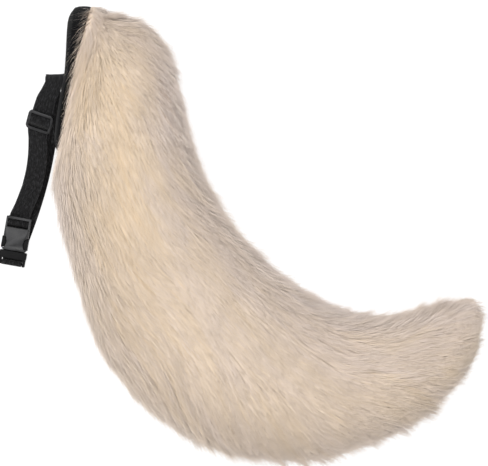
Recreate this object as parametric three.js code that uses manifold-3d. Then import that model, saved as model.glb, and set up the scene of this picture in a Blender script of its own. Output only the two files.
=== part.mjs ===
// A costume animal tail of long cream fur, stuffed and curved like a crescent, on a black waist belt.
// It lies on its side. The root of the tail is closed by an oval black panel that sits against the
// wearer's back. A sewn strap on the panel carries the belt, whose webbing runs down to an adjuster
// and on to a side-release buckle, and back along the floor. Units are millimetres, +Z is up.
import * as THREE from "three";
import { mergeVertices } from "three/addons/utils/BufferGeometryUtils.js";
import Module from "manifold-3d";

const wasm = await Module();
wasm.setup();

// Sizes of the stuffed fur tail
const TAIL_REACH = 526; // across, from the panel's middle to the last hair
const TAIL_DROP = 486; // down, from the panel's middle to the lowest hair
const TAIL_HEIGHT = 168; // above the floor at the fattest place
const LOCK_LIFT = 9; // how far the locks of fur stand above the body
const LOCK_LENGTH = 96;
const LOCK_WIDTH = 36;

// Sizes of the panel that closes the root
const PANEL_LENGTH = 188;
const PANEL_WIDTH = 100;
const PANEL_THICKNESS = 14;
const PANEL_SWELL = 18; // how much thicker its stuffed upper end is
const PANEL_TILT = 11.5; // degrees that its long axis leans from the tail's own upright
const PANEL_ROLL = 3; // degrees that its belt side looks up from the floor
const FUR_MARGIN = 4; // how far the fur stands out past the panel's rim

// Sizes of the belt
const WEBBING_WIDTH = 25;
const WEBBING_THICKNESS = 1.3;
const CARRIER_WIDTH = 20; // the sewn strap that holds the belt on the panel
const CARRIER_LENGTH = 98;
const CARRIER_FOOT = 9; // length of each sewn end
const FOLD_RADIUS = 6; // where the belt folds over beside the panel
const FOLD_OUT = 12; // from the panel's middle to the middle of the fold
const FOLD_UP = 1; // from the panel's middle up to the fold's edge
const FOLD_HEIGHT = 88;
const FOLD_LEAN = 14; // degrees that its panel end stands higher
const LANDING_OUT = 25; // from the panel's middle to where the belt comes down to the floor
const FLOOR_BEND = 11; // radius where the belt turns onto the floor
const HEM = 20; // length of webbing sewn back on itself

// Sizes of the adjuster
const SLIDER_WIDTH = 32;
const SLIDER_LENGTH = 24.5;
const SLIDER_THICKNESS = 3;
const SLIDER_RAIL = 2.8;
const SLIDER_BAR = 3;
const SLIDER_SHARE = 0.3; // how far down the strand it sits, as a share of the strand

// Sizes of the side-release buckle
const BUCKLE_LENGTH = 63;
const BUCKLE_WIDTH = 35;
const BUCKLE_THICKNESS = 9;
const FEMALE_WIDTH = 32;
const FEMALE_BODY = 30; // length of the closed body
const BUCKLE_WALL = 1.9;
const BUCKLE_BAR = 3;
const BUCKLE_RAIL = 2.3;
const BUCKLE_DOWN = 207; // from the panel's middle down to the buckle's middle
const BUCKLE_OUT = 71; // and outwards
const BUCKLE_TURN = 10; // degrees from the tail's own upright
const NOTCH_DEPTH = 5.6; // of the side windows that show the release pads
const NOTCH_HALF = 8.6;
const BLOCK_LENGTH = 10; // of the male half's solid shoulder

const GAP = 0.3; // between any two pieces that touch
const SLACK = 0.6; // between pieces that slide

const SPINE_STEPS = 28;
const ROUND_STEPS = 20;
const SEWING_STEPS = 8;

const FUR = { color: 0xdcc4a8, roughness: 0.95, metalness: 0 };
const PANEL_CLOTH = { color: 0x1b1b1d, roughness: 0.9, metalness: 0 };
const WEBBING = { color: 0x202022, roughness: 0.8, metalness: 0 };
const PLASTIC = { color: 0x2b2b2e, roughness: 0.45, metalness: 0 };

// The tail seen from above, one row for each section from the root to the tip. The outer edge is the
// long low one and the inner edge the short high one: x as a share of TAIL_REACH, y of TAIL_DROP, from
// the panel's middle. Tall is a share of TAIL_HEIGHT, sit is how much of the underside is pressed flat
// and lean is the share of PANEL_ROLL that the section still has. The root row comes from the panel.
const SECTIONS = [
  { outX: -0.026, outY: -0.275, inX: 0.148, inY: 0.168, tall: 0.76, sit: 0.3, lean: 0.7 },
  { outX: -0.018, outY: -0.335, inX: 0.214, inY: 0.13, tall: 0.86, sit: 0.6, lean: 0.4 },
  { outX: -0.006, outY: -0.4, inX: 0.258, inY: 0.042, tall: 0.92, sit: 0.9, lean: 0.15 },
  { outX: 0.012, outY: -0.48, inX: 0.282, inY: -0.06, tall: 0.95, sit: 1, lean: 0 },
  { outX: 0.039, outY: -0.575, inX: 0.31, inY: -0.183, tall: 0.98, sit: 1, lean: 0 },
  { outX: 0.079, outY: -0.708, inX: 0.356, inY: -0.3, tall: 1, sit: 1, lean: 0 },
  { outX: 0.156, outY: -0.82, inX: 0.416, inY: -0.396, tall: 1, sit: 1, lean: 0 },
  { outX: 0.256, outY: -0.912, inX: 0.48, inY: -0.472, tall: 1, sit: 1, lean: 0 },
  { outX: 0.366, outY: -0.972, inX: 0.567, inY: -0.543, tall: 0.98, sit: 1, lean: 0 },
  { outX: 0.48, outY: -0.996, inX: 0.652, inY: -0.592, tall: 0.94, sit: 1, lean: 0 },
  { outX: 0.594, outY: -1, inX: 0.725, inY: -0.614, tall: 0.87, sit: 1, lean: 0 },
  { outX: 0.701, outY: -0.968, inX: 0.801, inY: -0.614, tall: 0.77, sit: 1, lean: 0 },
  { outX: 0.809, outY: -0.916, inX: 0.883, inY: -0.595, tall: 0.64, sit: 1, lean: 0 },
  { outX: 0.904, outY: -0.845, inX: 0.947, inY: -0.58, tall: 0.5, sit: 0.9, lean: 0 },
  { outX: 0.968, outY: -0.765, inX: 0.984, inY: -0.574, tall: 0.34, sit: 0.8, lean: 0 },
  { outX: 0.995, outY: -0.7, inX: 1, inY: -0.602, tall: 0.2, sit: 0.6, lean: 0 },
];

// The panel's own frame: along its length, out on the belt side, and across its width.
const UP = new THREE.Vector3(0, 0, 1);
const tilt = THREE.MathUtils.degToRad(PANEL_TILT);
const roll = THREE.MathUtils.degToRad(PANEL_ROLL);
const panelAlong = new THREE.Vector3(Math.sin(tilt), Math.cos(tilt), 0);
const panelInLevel = new THREE.Vector3(Math.cos(tilt), -Math.sin(tilt), 0);
const panelAcross = UP.clone().multiplyScalar(Math.cos(roll)).addScaledVector(panelInLevel, Math.sin(roll));
const panelOut = panelInLevel.clone().multiplyScalar(-Math.cos(roll)).addScaledVector(UP, Math.sin(roll));
const panelMiddle = new THREE.Vector3(0, 0, (PANEL_WIDTH / 2 + FUR_MARGIN) * Math.cos(roll) + GAP);

// A point from the middle of the panel's belt side: along its length, out from it and across it.
function onPanel(along, out, across) {
  return panelMiddle
    .clone()
    .addScaledVector(panelAlong, along)
    .addScaledVector(panelOut, out)
    .addScaledVector(panelAcross, across);
}

// Closed geometry through rings of points, with a fan at each end. It is turned to face out. The
// triangles of the sides named in crossed are split the other way, so that a twisted strap's two faces
// stay parallel.
function loft(rings, crossed = []) {
  const count = rings[0].length;
  const points = rings.flat();
  const faces = [];
  for (let i = 0; i + 1 < rings.length; i++) {
    for (let j = 0; j < count; j++) {
      const k = (j + 1) % count;
      const [a, b, c, d] = [i * count + j, i * count + k, (i + 1) * count + k, (i + 1) * count + j];
      if (crossed.includes(j)) faces.push([a, b, d], [b, c, d]);
      else faces.push([a, b, c], [a, c, d]);
    }
  }
  const last = (rings.length - 1) * count;
  for (const [start, turned] of [[0, true], [last, false]]) {
    const hub = points.length;
    const middle = new THREE.Vector3();
    for (let j = 0; j < count; j++) middle.addScaledVector(points[start + j], 1 / count);
    points.push(middle);
    for (let j = 0; j < count; j++) {
      const face = [start + j, start + ((j + 1) % count), hub];
      faces.push(turned ? face.reverse() : face);
    }
  }
  let volume = 0;
  for (const [a, b, c] of faces) {
    volume += points[a].dot(new THREE.Vector3().crossVectors(points[b], points[c]));
  }
  const index = faces.flatMap((face) => (volume < 0 ? face.reverse() : face));
  const geometry = new THREE.BufferGeometry().setFromPoints(points);
  geometry.setIndex(index);
  return geometry;
}

// A geometry as a solid that can be joined and cut.
function solid(geometry) {
  const bare = geometry.clone();
  bare.deleteAttribute("normal");
  bare.deleteAttribute("uv");
  const merged = mergeVertices(bare, 1e-4);
  return new wasm.Manifold(
    new wasm.Mesh({
      numProp: 3,
      vertProperties: merged.getAttribute("position").array,
      triVerts: new Uint32Array(merged.index.array),
    }),
  );
}

// A solid as a named mesh.
function piece(name, shape, finish) {
  const mesh = shape.getMesh();
  const geometry = new THREE.BufferGeometry();
  geometry.setAttribute("position", new THREE.BufferAttribute(new Float32Array(mesh.vertProperties), 3));
  geometry.setIndex(new THREE.BufferAttribute(new Uint32Array(mesh.triVerts), 1));
  geometry.computeVertexNormals();
  const made = new THREE.Mesh(geometry, new THREE.MeshStandardMaterial(finish));
  made.name = name;
  return made;
}

function joined(solids) {
  return solids.reduce((sum, next) => sum.add(next));
}

// The section rows in millimetres, with the root's row worked out from the panel.
function sectionRows() {
  const reach = PANEL_LENGTH / 2 + FUR_MARGIN;
  const back = -(PANEL_THICKNESS + GAP);
  const low = onPanel(-reach, back, 0);
  const high = onPanel(reach, back, 0);
  const root = {
    out: low.setZ(0),
    in: high.setZ(0),
    tall: (PANEL_WIDTH + 2 * FUR_MARGIN) * Math.cos(roll) + GAP,
    sit: 0,
    lean: 1,
  };
  const rest = SECTIONS.map((row) => ({
    out: new THREE.Vector3(row.outX * TAIL_REACH, row.outY * TAIL_DROP, 0),
    in: new THREE.Vector3(row.inX * TAIL_REACH, row.inY * TAIL_DROP, 0),
    tall: row.tall * TAIL_HEIGHT,
    sit: row.sit,
    lean: row.lean,
  }));
  return [root, ...rest];
}

// Smooth curves through the rows: both edges, and tall, sit and lean.
const rows = sectionRows();
const outerEdge = new THREE.CatmullRomCurve3(rows.map((row) => row.out), false, "catmullrom", 0.5);
const innerEdge = new THREE.CatmullRomCurve3(rows.map((row) => row.in), false, "catmullrom", 0.5);
const measures = new THREE.CatmullRomCurve3(
  rows.map((row) => new THREE.Vector3(row.tall, row.sit, row.lean)),
  false,
  "catmullrom",
  0.5,
);

// A point of the fur at a share of the way from root to tip and an angle round the section, raised by
// lift. Angle 0 is the inner edge, a quarter turn the top, a half turn the outer edge.
const ROOT_HEIGHT = panelMiddle.z;
function furPoint(share, angle, lift) {
  const outer = outerEdge.getPoint(share);
  const inner = innerEdge.getPoint(share);
  const [tall, sit, lean] = measures.getPoint(share).toArray();
  const middle = outer.clone().lerp(inner, 0.5);
  const across = inner.clone().sub(outer);
  const half = across.length() / 2;
  across.normalize();
  const level = new THREE.Vector3(across.y, -across.x, 0);
  const turn = roll * Math.max(lean, 0);
  const depth = UP.clone().multiplyScalar(Math.cos(turn)).addScaledVector(level, Math.sin(turn));
  const mid = THREE.MathUtils.lerp(0.5, 0.44, sit) * tall;
  middle.setZ(mid);
  if (share === 0) middle.setZ(ROOT_HEIGHT - (PANEL_THICKNESS + GAP) * Math.sin(roll));
  const c = Math.cos(angle);
  const s = Math.sin(angle);
  const over = s >= 0;
  const squareness = THREE.MathUtils.lerp(1, 0.78, sit);
  const side = over ? c : Math.sign(c) * Math.abs(c) ** squareness;
  const rise = over ? s : -(Math.abs(s) ** squareness);
  const vertical = over ? tall - mid : mid * (1 + 0.16 * sit);
  const outward = across
    .clone()
    .multiplyScalar(side / half)
    .addScaledVector(depth, rise / vertical)
    .normalize();
  const point = middle
    .clone()
    .addScaledVector(across, side * half)
    .addScaledVector(depth, rise * vertical)
    .addScaledVector(outward, lift);
  if (share > 0) point.z = Math.max(point.z, 0);
  return point;
}

// The stuffed body under the locks: slightly slimmer than the fur's outline, full size at the panel.
function furBody() {
  const rings = [];
  for (let i = 0; i <= SPINE_STEPS; i++) {
    const share = i / SPINE_STEPS;
    const sink = -0.75 * LOCK_LIFT * Math.min(1, share / 0.06) * Math.min(1, (1 - share) / 0.08);
    const ring = [];
    for (let j = 0; j < ROUND_STEPS; j++) {
      ring.push(furPoint(share, (j / ROUND_STEPS) * 2 * Math.PI, sink));
    }
    rings.push(ring);
  }
  return solid(loft(rings));
}

// One lock: a pointed blade that starts inside the body and rises along the way the fur lies. Each
// station has its place along the lock, its half width, its crest and its edges as shares of the lift.
const LOCK_STATIONS = [
  { along: 0, half: 0.35, crest: -1.0, edge: -1.3 },
  { along: 0.3, half: 0.9, crest: -0.1, edge: -1.0 },
  { along: 0.62, half: 1, crest: 0.1, edge: -0.8 },
  { along: 0.85, half: 0.55, crest: 0.25, edge: -0.4 },
  { along: 1, half: 0.03, crest: 0.35, edge: 0.3 },
];
const LOCK_FLOOR = -1.9;
function lock(share, angle, size, sway) {
  const spine = innerEdge.getLength() / 2 + outerEdge.getLength() / 2;
  const rings = LOCK_STATIONS.map(({ along, half, crest, edge }) => {
    const at = Math.min(share + (along * size * LOCK_LENGTH) / spine, 1);
    const girth = innerEdge.getPoint(at).distanceTo(outerEdge.getPoint(at)) / 2 + LOCK_LIFT;
    const spread = Math.min((half * size * LOCK_WIDTH) / 2 / girth, 0.5);
    const middle = angle + sway * along * along;
    return [
      furPoint(at, middle - spread, edge * LOCK_LIFT),
      furPoint(at, middle, crest * LOCK_LIFT),
      furPoint(at, middle + spread, edge * LOCK_LIFT),
      furPoint(at, middle, Math.min(LOCK_FLOOR, edge - 0.4) * LOCK_LIFT),
    ];
  });
  return solid(loft(rings));
}

// Locks in staggered rows over the top and both sides, with a ragged brush of them at the tip.
const LOCK_ROWS = 11;
const LOCKS_ROUND = 7;
const LOCKS_FROM = -0.12 * Math.PI;
const LOCKS_TO = 1.12 * Math.PI;
function furLocks() {
  const locks = [];
  for (let row = 0; row < LOCK_ROWS; row++) {
    const share = 0.025 + (0.86 * row) / (LOCK_ROWS - 1);
    for (let k = 0; k < LOCKS_ROUND; k++) {
      const step = (k + (row % 2 ? 0.75 : 0.25)) / LOCKS_ROUND;
      const angle = THREE.MathUtils.lerp(LOCKS_FROM, LOCKS_TO, step);
      const size = 1 + 0.16 * Math.sin(2.4 * row + 1.7 * k);
      const sway = 0.1 * Math.sin(1.3 * row + 2.9 * k);
      locks.push(lock(share, angle, size * (1 - 0.25 * share), sway));
    }
  }
  return locks;
}

// The fur from the floor up: whatever a lock pushes below the floor is cut away.
function tailFur() {
  const fur = joined([furBody(), ...furLocks()]);
  const slab = new THREE.BoxGeometry(4 * TAIL_REACH, 4 * TAIL_DROP, TAIL_HEIGHT);
  slab.translate(0, 0, -TAIL_HEIGHT / 2);
  return piece("tail_fur", fur.subtract(solid(slab)), FUR);
}

// The oval panel: flat on the fur's side, rounded at the rim, and swollen by stuffing at its upper end.
function panelSwell(along) {
  return PANEL_SWELL * Math.max(0, (2 * along) / PANEL_LENGTH) ** 1.3;
}

const PANEL_ROUND = 36;
const PANEL_FLAT = 0.6; // share of the oval inside the rounded rim
function rootPanel() {
  const ring = (radial, out) => {
    const points = [];
    for (let j = 0; j < PANEL_ROUND; j++) {
      const angle = (j / PANEL_ROUND) * 2 * Math.PI;
      const along = (radial * Math.cos(angle) * PANEL_LENGTH) / 2;
      const across = (radial * Math.sin(angle) * PANEL_WIDTH) / 2;
      const thick = PANEL_THICKNESS + panelSwell(along);
      points.push(onPanel(along, out * thick - PANEL_THICKNESS, across));
    }
    return points;
  };
  const rounding = (radial) => {
    const share = Math.max(0, (radial - PANEL_FLAT) / (1 - PANEL_FLAT));
    return (1 - share ** 2.4) ** (1 / 2.4);
  };
  const beltSide = [0.99, 0.95, 0.87, 0.75, PANEL_FLAT, 0.45, 0.3, 0.15];
  const rings = [ring(0.5, 0), ring(1, 0), ...beltSide.map((radial) => ring(radial, rounding(radial)))];
  return piece("root_panel", solid(loft(rings)), PANEL_CLOTH);
}

// A flat strap through stations, each with its middle and the direction across it.
function strap(stations, width, thickness) {
  const rings = stations.map(({ at, across }, i) => {
    const before = stations[Math.max(i - 1, 0)].at;
    const after = stations[Math.min(i + 1, stations.length - 1)].at;
    const way = after.clone().sub(before).normalize();
    const side = across.clone().normalize();
    const face = new THREE.Vector3().crossVectors(side, way).normalize();
    const corner = (a, b) =>
      at
        .clone()
        .addScaledVector(side, (a * width) / 2)
        .addScaledVector(face, (b * thickness) / 2);
    return [corner(-1, -1), corner(1, -1), corner(1, 1), corner(-1, 1)];
  });
  return solid(loft(rings, [2]));
}

// The belt passes under the carrier turned partly edge on, so the carrier stands out far enough for it.
const BELT_TURN = THREE.MathUtils.degToRad(68);
const beltOut = (WEBBING_WIDTH / 2) * Math.cos(BELT_TURN) + WEBBING_THICKNESS + SLACK;
const carrierStand = 2 * beltOut + WEBBING_THICKNESS;
const BELT_ALONG = -14; // where the belt crosses the panel, along the panel from its middle
const CARRIER_TOP = 14; // where the carrier's upper end is sewn, along the panel from its middle
const CARRIER_DROP = -8; // how far below the panel's middle line the carrier runs
const SEWN_SHARE = CARRIER_FOOT / CARRIER_LENGTH;
const CARRIER_STATIONS = [
  { along: 0, stand: 0 },
  { along: SEWN_SHARE, stand: 0.04 },
  { along: 0.105, stand: 0.2 },
  { along: 0.125, stand: 0.6 },
  { along: 0.15, stand: 0.94 },
  { along: 0.18, stand: 1 },
  { along: 0.317, stand: 1 },
  { along: 0.416, stand: 0.88 },
  { along: 0.526, stand: 0.7 },
  { along: 0.647, stand: 0.52 },
  { along: 0.758, stand: 0.36 },
  { along: 0.835, stand: 0.2 },
  { along: 0.89, stand: 0.04 },
  { along: 1 - SEWN_SHARE, stand: 0 },
  { along: 1, stand: 0 },
];

function beltCarrier() {
  const seat = GAP + WEBBING_THICKNESS / 2;
  const stations = CARRIER_STATIONS.map(({ along, stand }) => ({
    at: onPanel(
      CARRIER_TOP - along * CARRIER_LENGTH,
      seat + panelSwell(CARRIER_TOP - along * CARRIER_LENGTH) + stand * carrierStand,
      CARRIER_DROP,
    ),
    across: panelAcross,
  }));
  return piece("belt_carrier", strap(stations, CARRIER_WIDTH, WEBBING_THICKNESS), WEBBING);
}

// A frame for hardware on the strand: x across, y up the strand, z out of its face.
function hardwareFrame(at, turnDegrees, pitch) {
  const turn = THREE.MathUtils.degToRad(turnDegrees);
  const x = new THREE.Vector3(Math.cos(turn), -Math.sin(turn), 0);
  const y = new THREE.Vector3(
    Math.sin(turn) * Math.cos(pitch),
    Math.cos(turn) * Math.cos(pitch),
    Math.sin(pitch),
  );
  const z = new THREE.Vector3().crossVectors(x, y);
  return new THREE.Matrix4().makeBasis(x, y, z).setPosition(at);
}

// The buckle lies on the two layers of webbing under it.
const LAYERS_UNDER = 2 * (WEBBING_THICKNESS + GAP);
const buckleFrame = hardwareFrame(
  new THREE.Vector3(-BUCKLE_OUT, -BUCKLE_DOWN, LAYERS_UNDER),
  BUCKLE_TURN,
  0,
);
const WRAP = BUCKLE_BAR / 2 + 1.5 * GAP + WEBBING_THICKNESS / 2; // middle of webbing wound round a bar
const buckleEnd = BUCKLE_LENGTH / 2;
const femaleTop = buckleEnd - BUCKLE_BAR - 2 * (WEBBING_THICKNESS + SLACK) - BUCKLE_BAR / 2;
const femaleBarHeight = WRAP + WEBBING_THICKNESS / 2;
const maleBar = -buckleEnd + BUCKLE_BAR / 2 + WEBBING_THICKNESS + GAP;
const maleBarHeight = WRAP + WEBBING_THICKNESS / 2;
const LAYER_STEP = WEBBING_THICKNESS + GAP;

// The fold beside the panel, and the adjuster on the straight line from there to the buckle.
const foldMiddle = new THREE.Vector3(-FOLD_OUT, FOLD_UP - FOLD_RADIUS, FOLD_HEIGHT - FOLD_RADIUS);
const strandEnd = new THREE.Vector3(0, buckleEnd, femaleBarHeight).applyMatrix4(buckleFrame);
const strandStart = foldMiddle.clone().setZ(FOLD_HEIGHT);
const strandWay = strandEnd.clone().sub(strandStart);
const strandPitch = Math.atan2(-strandWay.z, Math.hypot(strandWay.x, strandWay.y));
const SLIDER_TURN = 19; // degrees from the tail's own upright
const SLIDER_SWAY = 3.5; // how far it sits outside the straight line
const sliderAt = strandStart.clone().addScaledVector(strandWay, SLIDER_SHARE);
sliderAt.x -= SLIDER_SWAY;
const sliderFrame = hardwareFrame(sliderAt, SLIDER_TURN, strandPitch);
const sliderWrap = SLIDER_BAR / 2 + 1.5 * GAP + WEBBING_THICKNESS / 2;
const sliderInner = SLIDER_LENGTH / 2 - SLIDER_RAIL;
const underRail = -(SLIDER_THICKNESS / 2 + GAP + WEBBING_THICKNESS / 2);

// Stations given in a piece of hardware's own frame, y up the strand and z out of its face.
function placed(frame, points) {
  const across = new THREE.Vector3().setFromMatrixColumn(frame, 0);
  return points.map(([y, z]) => ({ at: new THREE.Vector3(0, y, z).applyMatrix4(frame), across }));
}

// Points round a bar, angles in degrees from up the strand.
function round(y, z, radius, from, to) {
  const points = [];
  for (let i = 0; i <= SEWING_STEPS; i++) {
    const angle = THREE.MathUtils.degToRad(THREE.MathUtils.lerp(from, to, i / SEWING_STEPS));
    points.push([y + radius * Math.cos(angle), z + radius * Math.sin(angle)]);
  }
  return points;
}

// Stations between two others, with a sideways sway and a lift in the middle.
function between(from, to, steps, sway, lift) {
  const stations = [];
  for (let i = 1; i < steps; i++) {
    const share = i / steps;
    const at = from.at.clone().lerp(to.at, share);
    const bulge = Math.sin(Math.PI * share);
    at.x += sway * bulge;
    at.z += lift * bulge;
    stations.push({ at, across: from.across.clone().lerp(to.across, share).normalize() });
  }
  return stations;
}

const RUN_STEPS = 9;
const STRAND_SWAY = 8; // how far the strand bows towards the tail
const BACK_SWAY = 9;
function beltWebbing() {
  // Sewn round the adjuster's middle bar
  const sewnLevel = underRail - LAYER_STEP - 0.15;
  const sewn = placed(sliderFrame, [
    [-sliderInner, sewnLevel - LAYER_STEP],
    [-sliderWrap, sewnLevel - 0.1],
    ...round(0, 0, sliderWrap, -90, 130),
    [-0.74 * sliderInner, sewnLevel + 0.5],
    [-sliderInner - SLIDER_RAIL / 2, sewnLevel],
    [-SLIDER_LENGTH / 2 - 2, sewnLevel],
  ]);
  // Round the buckle's inner bar, under its outer bar on the way in and on the way out
  const layerUnderFrame = femaleBarHeight - WRAP + 0.1;
  const looped = placed(buckleFrame, [
    [buckleEnd + 3, layerUnderFrame],
    [femaleTop + WRAP + 2, layerUnderFrame - 0.1],
    ...round(femaleTop, femaleBarHeight, WRAP, 270, 60),
    [buckleEnd - BUCKLE_BAR - SLACK, layerUnderFrame + LAYER_STEP + 0.4],
    [buckleEnd + 3, layerUnderFrame + LAYER_STEP + 0.4],
  ]);
  // Through the adjuster: under both rails and over the sewn bar
  const over = sliderWrap + LAYER_STEP;
  const threaded = placed(sliderFrame, [
    [-SLIDER_LENGTH / 2 - 2, underRail],
    [-sliderInner + SLACK, underRail],
    ...round(0, 0, over, 140, 40),
    [sliderInner - SLACK, underRail],
    [SLIDER_LENGTH / 2 + 2, underRail],
  ]);
  // Over the fold, down through the carrier and onto the floor
  const level = new THREE.Vector3(1, 0, 0);
  const lean = THREE.MathUtils.degToRad(FOLD_LEAN);
  const leaning = new THREE.Vector3(Math.cos(lean), 0, Math.sin(lean));
  const turned = panelInLevel.clone().multiplyScalar(Math.cos(BELT_TURN)).addScaledVector(panelAlong, -Math.sin(BELT_TURN));
  const fold = [];
  for (let i = 0; i <= SEWING_STEPS; i++) {
    const angle = THREE.MathUtils.lerp(Math.PI / 2 + strandPitch, 0, i / SEWING_STEPS);
    const way = new THREE.Vector3(0, Math.cos(angle), Math.sin(angle)).multiplyScalar(FOLD_RADIUS);
    fold.push({ at: foldMiddle.clone().add(way), across: leaning });
  }
  const crossing = [-0.74, 0, 0.74].map((share) => ({
    at: onPanel(BELT_ALONG, beltOut + GAP, CARRIER_DROP - share * CARRIER_WIDTH),
    across: turned,
  }));
  const floorTop = new THREE.Vector3(
    -LANDING_OUT,
    BELT_ALONG - FLOOR_BEND,
    FLOOR_BEND + WEBBING_THICKNESS / 2,
  );
  const landing = [];
  for (let i = 0; i <= SEWING_STEPS; i++) {
    const angle = THREE.MathUtils.lerp(0, -Math.PI / 2, i / SEWING_STEPS);
    const way = new THREE.Vector3(0, Math.cos(angle), Math.sin(angle)).multiplyScalar(FLOOR_BEND);
    landing.push({ at: floorTop.clone().add(way), across: level });
  }
  // Back along the floor, round the buckle's male bar and sewn under the shoulder
  const floor = WEBBING_THICKNESS / 2 - LAYERS_UNDER;
  const ended = placed(buckleFrame, [
    [maleBar + WRAP + 5, floor],
    [maleBar + WRAP + 1.5, floor + 0.1],
    ...round(maleBar, maleBarHeight, WRAP, 285, 30),
    [maleBar + WRAP + 0.3, maleBarHeight - 1.6],
    [maleBar + WRAP + 1.6, floor + LAYER_STEP + 0.3],
    [maleBar + WRAP + 4, floor + LAYER_STEP],
    [maleBar + WRAP + HEM, floor + LAYER_STEP],
  ]);
  const lower = between(sewn.at(-1), looped[0], RUN_STEPS, STRAND_SWAY, 0);
  // The hem lies under the lower layer and is sewn to it
  const underneath = new THREE.Vector3().setFromMatrixColumn(sliderFrame, 2).multiplyScalar(-LAYER_STEP);
  const hemStart = sewn.at(-1).at.clone().add(underneath);
  const hemWay = lower[0].at.clone().sub(sewn.at(-1).at).setLength(HEM);
  const hem = [
    { at: hemStart.clone().add(hemWay), across: lower[0].across },
    { at: hemStart, across: sewn.at(-1).across },
  ];
  const runs = [
    ...hem,
    ...sewn,
    ...lower,
    ...looped,
    ...between(looped.at(-1), threaded[0], RUN_STEPS, STRAND_SWAY, 0),
    ...threaded,
    ...between(threaded.at(-1), fold[0], 4, -1, 0),
    ...fold,
    ...between(fold.at(-1), crossing[0], 8, -2, 0),
    ...crossing,
    ...between(crossing.at(-1), landing[0], 12, 0, 0),
    ...landing,
    ...between(landing.at(-1), ended[0], 2 * RUN_STEPS, BACK_SWAY, 0),
    ...ended,
  ];
  return piece("belt_webbing", strap(runs, WEBBING_WIDTH, WEBBING_THICKNESS), WEBBING);
}

// A rectangle with rounded corners, for plates and slots.
function plate(width, length, corner, middleY = 0) {
  const shape = new THREE.Shape();
  const x = width / 2;
  const low = middleY - length / 2;
  const high = middleY + length / 2;
  shape.absarc(x - corner, low + corner, corner, -Math.PI / 2, 0, false);
  shape.absarc(x - corner, high - corner, corner, 0, Math.PI / 2, false);
  shape.absarc(-x + corner, high - corner, corner, Math.PI / 2, Math.PI, false);
  shape.absarc(-x + corner, low + corner, corner, Math.PI, 1.5 * Math.PI, false);
  return shape;
}

// A shape given a thickness between two heights, with its edges rounded by bevel.
function slab(shape, low, high, bevel = 0) {
  const geometry = new THREE.ExtrudeGeometry(shape, {
    depth: high - low - 2 * bevel,
    bevelEnabled: bevel > 0,
    bevelThickness: bevel,
    bevelSize: bevel,
    bevelOffset: -bevel,
    bevelSegments: 2,
    curveSegments: 4,
  });
  geometry.translate(0, 0, low + bevel);
  return solid(geometry);
}

function bar(length, radius, y, z) {
  const rod = new THREE.CylinderGeometry(radius, radius, length, 12);
  rod.rotateZ(Math.PI / 2);
  rod.translate(0, y, z);
  return solid(rod);
}

// The adjuster: a rounded frame with one bar across its middle.
function slider() {
  const half = SLIDER_THICKNESS / 2;
  const window = plate(SLIDER_WIDTH - 2 * SLIDER_RAIL, SLIDER_LENGTH - 2 * SLIDER_RAIL, 1.5);
  const frame = slab(plate(SLIDER_WIDTH, SLIDER_LENGTH, 5), -half, half, 0.7);
  const opened = frame.subtract(slab(window, -SLIDER_THICKNESS, SLIDER_THICKNESS));
  const middle = bar(SLIDER_WIDTH - SLIDER_RAIL, SLIDER_BAR / 2, 0, 0);
  const made = piece("belt_slider", opened.add(middle), PLASTIC);
  made.applyMatrix4(sliderFrame);
  return made;
}

const bodyLow = femaleTop - BUCKLE_BAR / 2 - 2 * (WEBBING_THICKNESS + SLACK) - FEMALE_BODY;
const bodyHigh = bodyLow + FEMALE_BODY;
const notchY = bodyLow + 0.33 * FEMALE_BODY;
const cavityHalf = FEMALE_WIDTH / 2 - BUCKLE_WALL;

// The window cut in each side of the female half, grown by more for the pad's own outline.
function notch(side, more) {
  const shape = new THREE.Shape();
  shape.absellipse(
    (side * FEMALE_WIDTH) / 2,
    notchY,
    NOTCH_DEPTH - more,
    NOTCH_HALF - more,
    0,
    2 * Math.PI,
    false,
    0,
  );
  return shape;
}

// The female half: a hollow body with side windows, and a frame with two bars for the webbing.
function buckleFemale() {
  const middleY = (bodyLow + bodyHigh) / 2;
  let body = slab(plate(FEMALE_WIDTH, FEMALE_BODY, 2.5, middleY), 0, BUCKLE_THICKNESS, 1.2);
  const cavityLength = FEMALE_BODY - 7;
  const hollow = plate(2 * cavityHalf, 2 * cavityLength, 0.5, bodyLow);
  body = body.subtract(slab(hollow, BUCKLE_WALL, BUCKLE_THICKNESS - BUCKLE_WALL));
  for (const side of [-1, 1]) {
    body = body.subtract(slab(notch(side, 0), -1, BUCKLE_THICKNESS + 1));
  }
  const railLength = buckleEnd - bodyHigh + 3;
  const railX = FEMALE_WIDTH / 2 - BUCKLE_RAIL / 2;
  const railTop = BUCKLE_THICKNESS - 1.2;
  const rails = [-1, 1].map((side) => {
    const rail = slab(plate(BUCKLE_RAIL, railLength, 0.6, buckleEnd - railLength / 2), 1.2, railTop);
    return rail.translate([side * railX, 0, 0]);
  });
  const outerLow = femaleBarHeight - WRAP + 0.1 + LAYER_STEP + 0.4 + WEBBING_THICKNESS / 2 + GAP;
  const outer = slab(plate(FEMALE_WIDTH, BUCKLE_BAR, 1, buckleEnd - BUCKLE_BAR / 2), outerLow, railTop);
  const inner = bar(FEMALE_WIDTH - BUCKLE_RAIL, BUCKLE_BAR / 2, femaleTop, femaleBarHeight);
  return piece("buckle_female", joined([body, ...rails, outer, inner]), PLASTIC);
}

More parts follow.
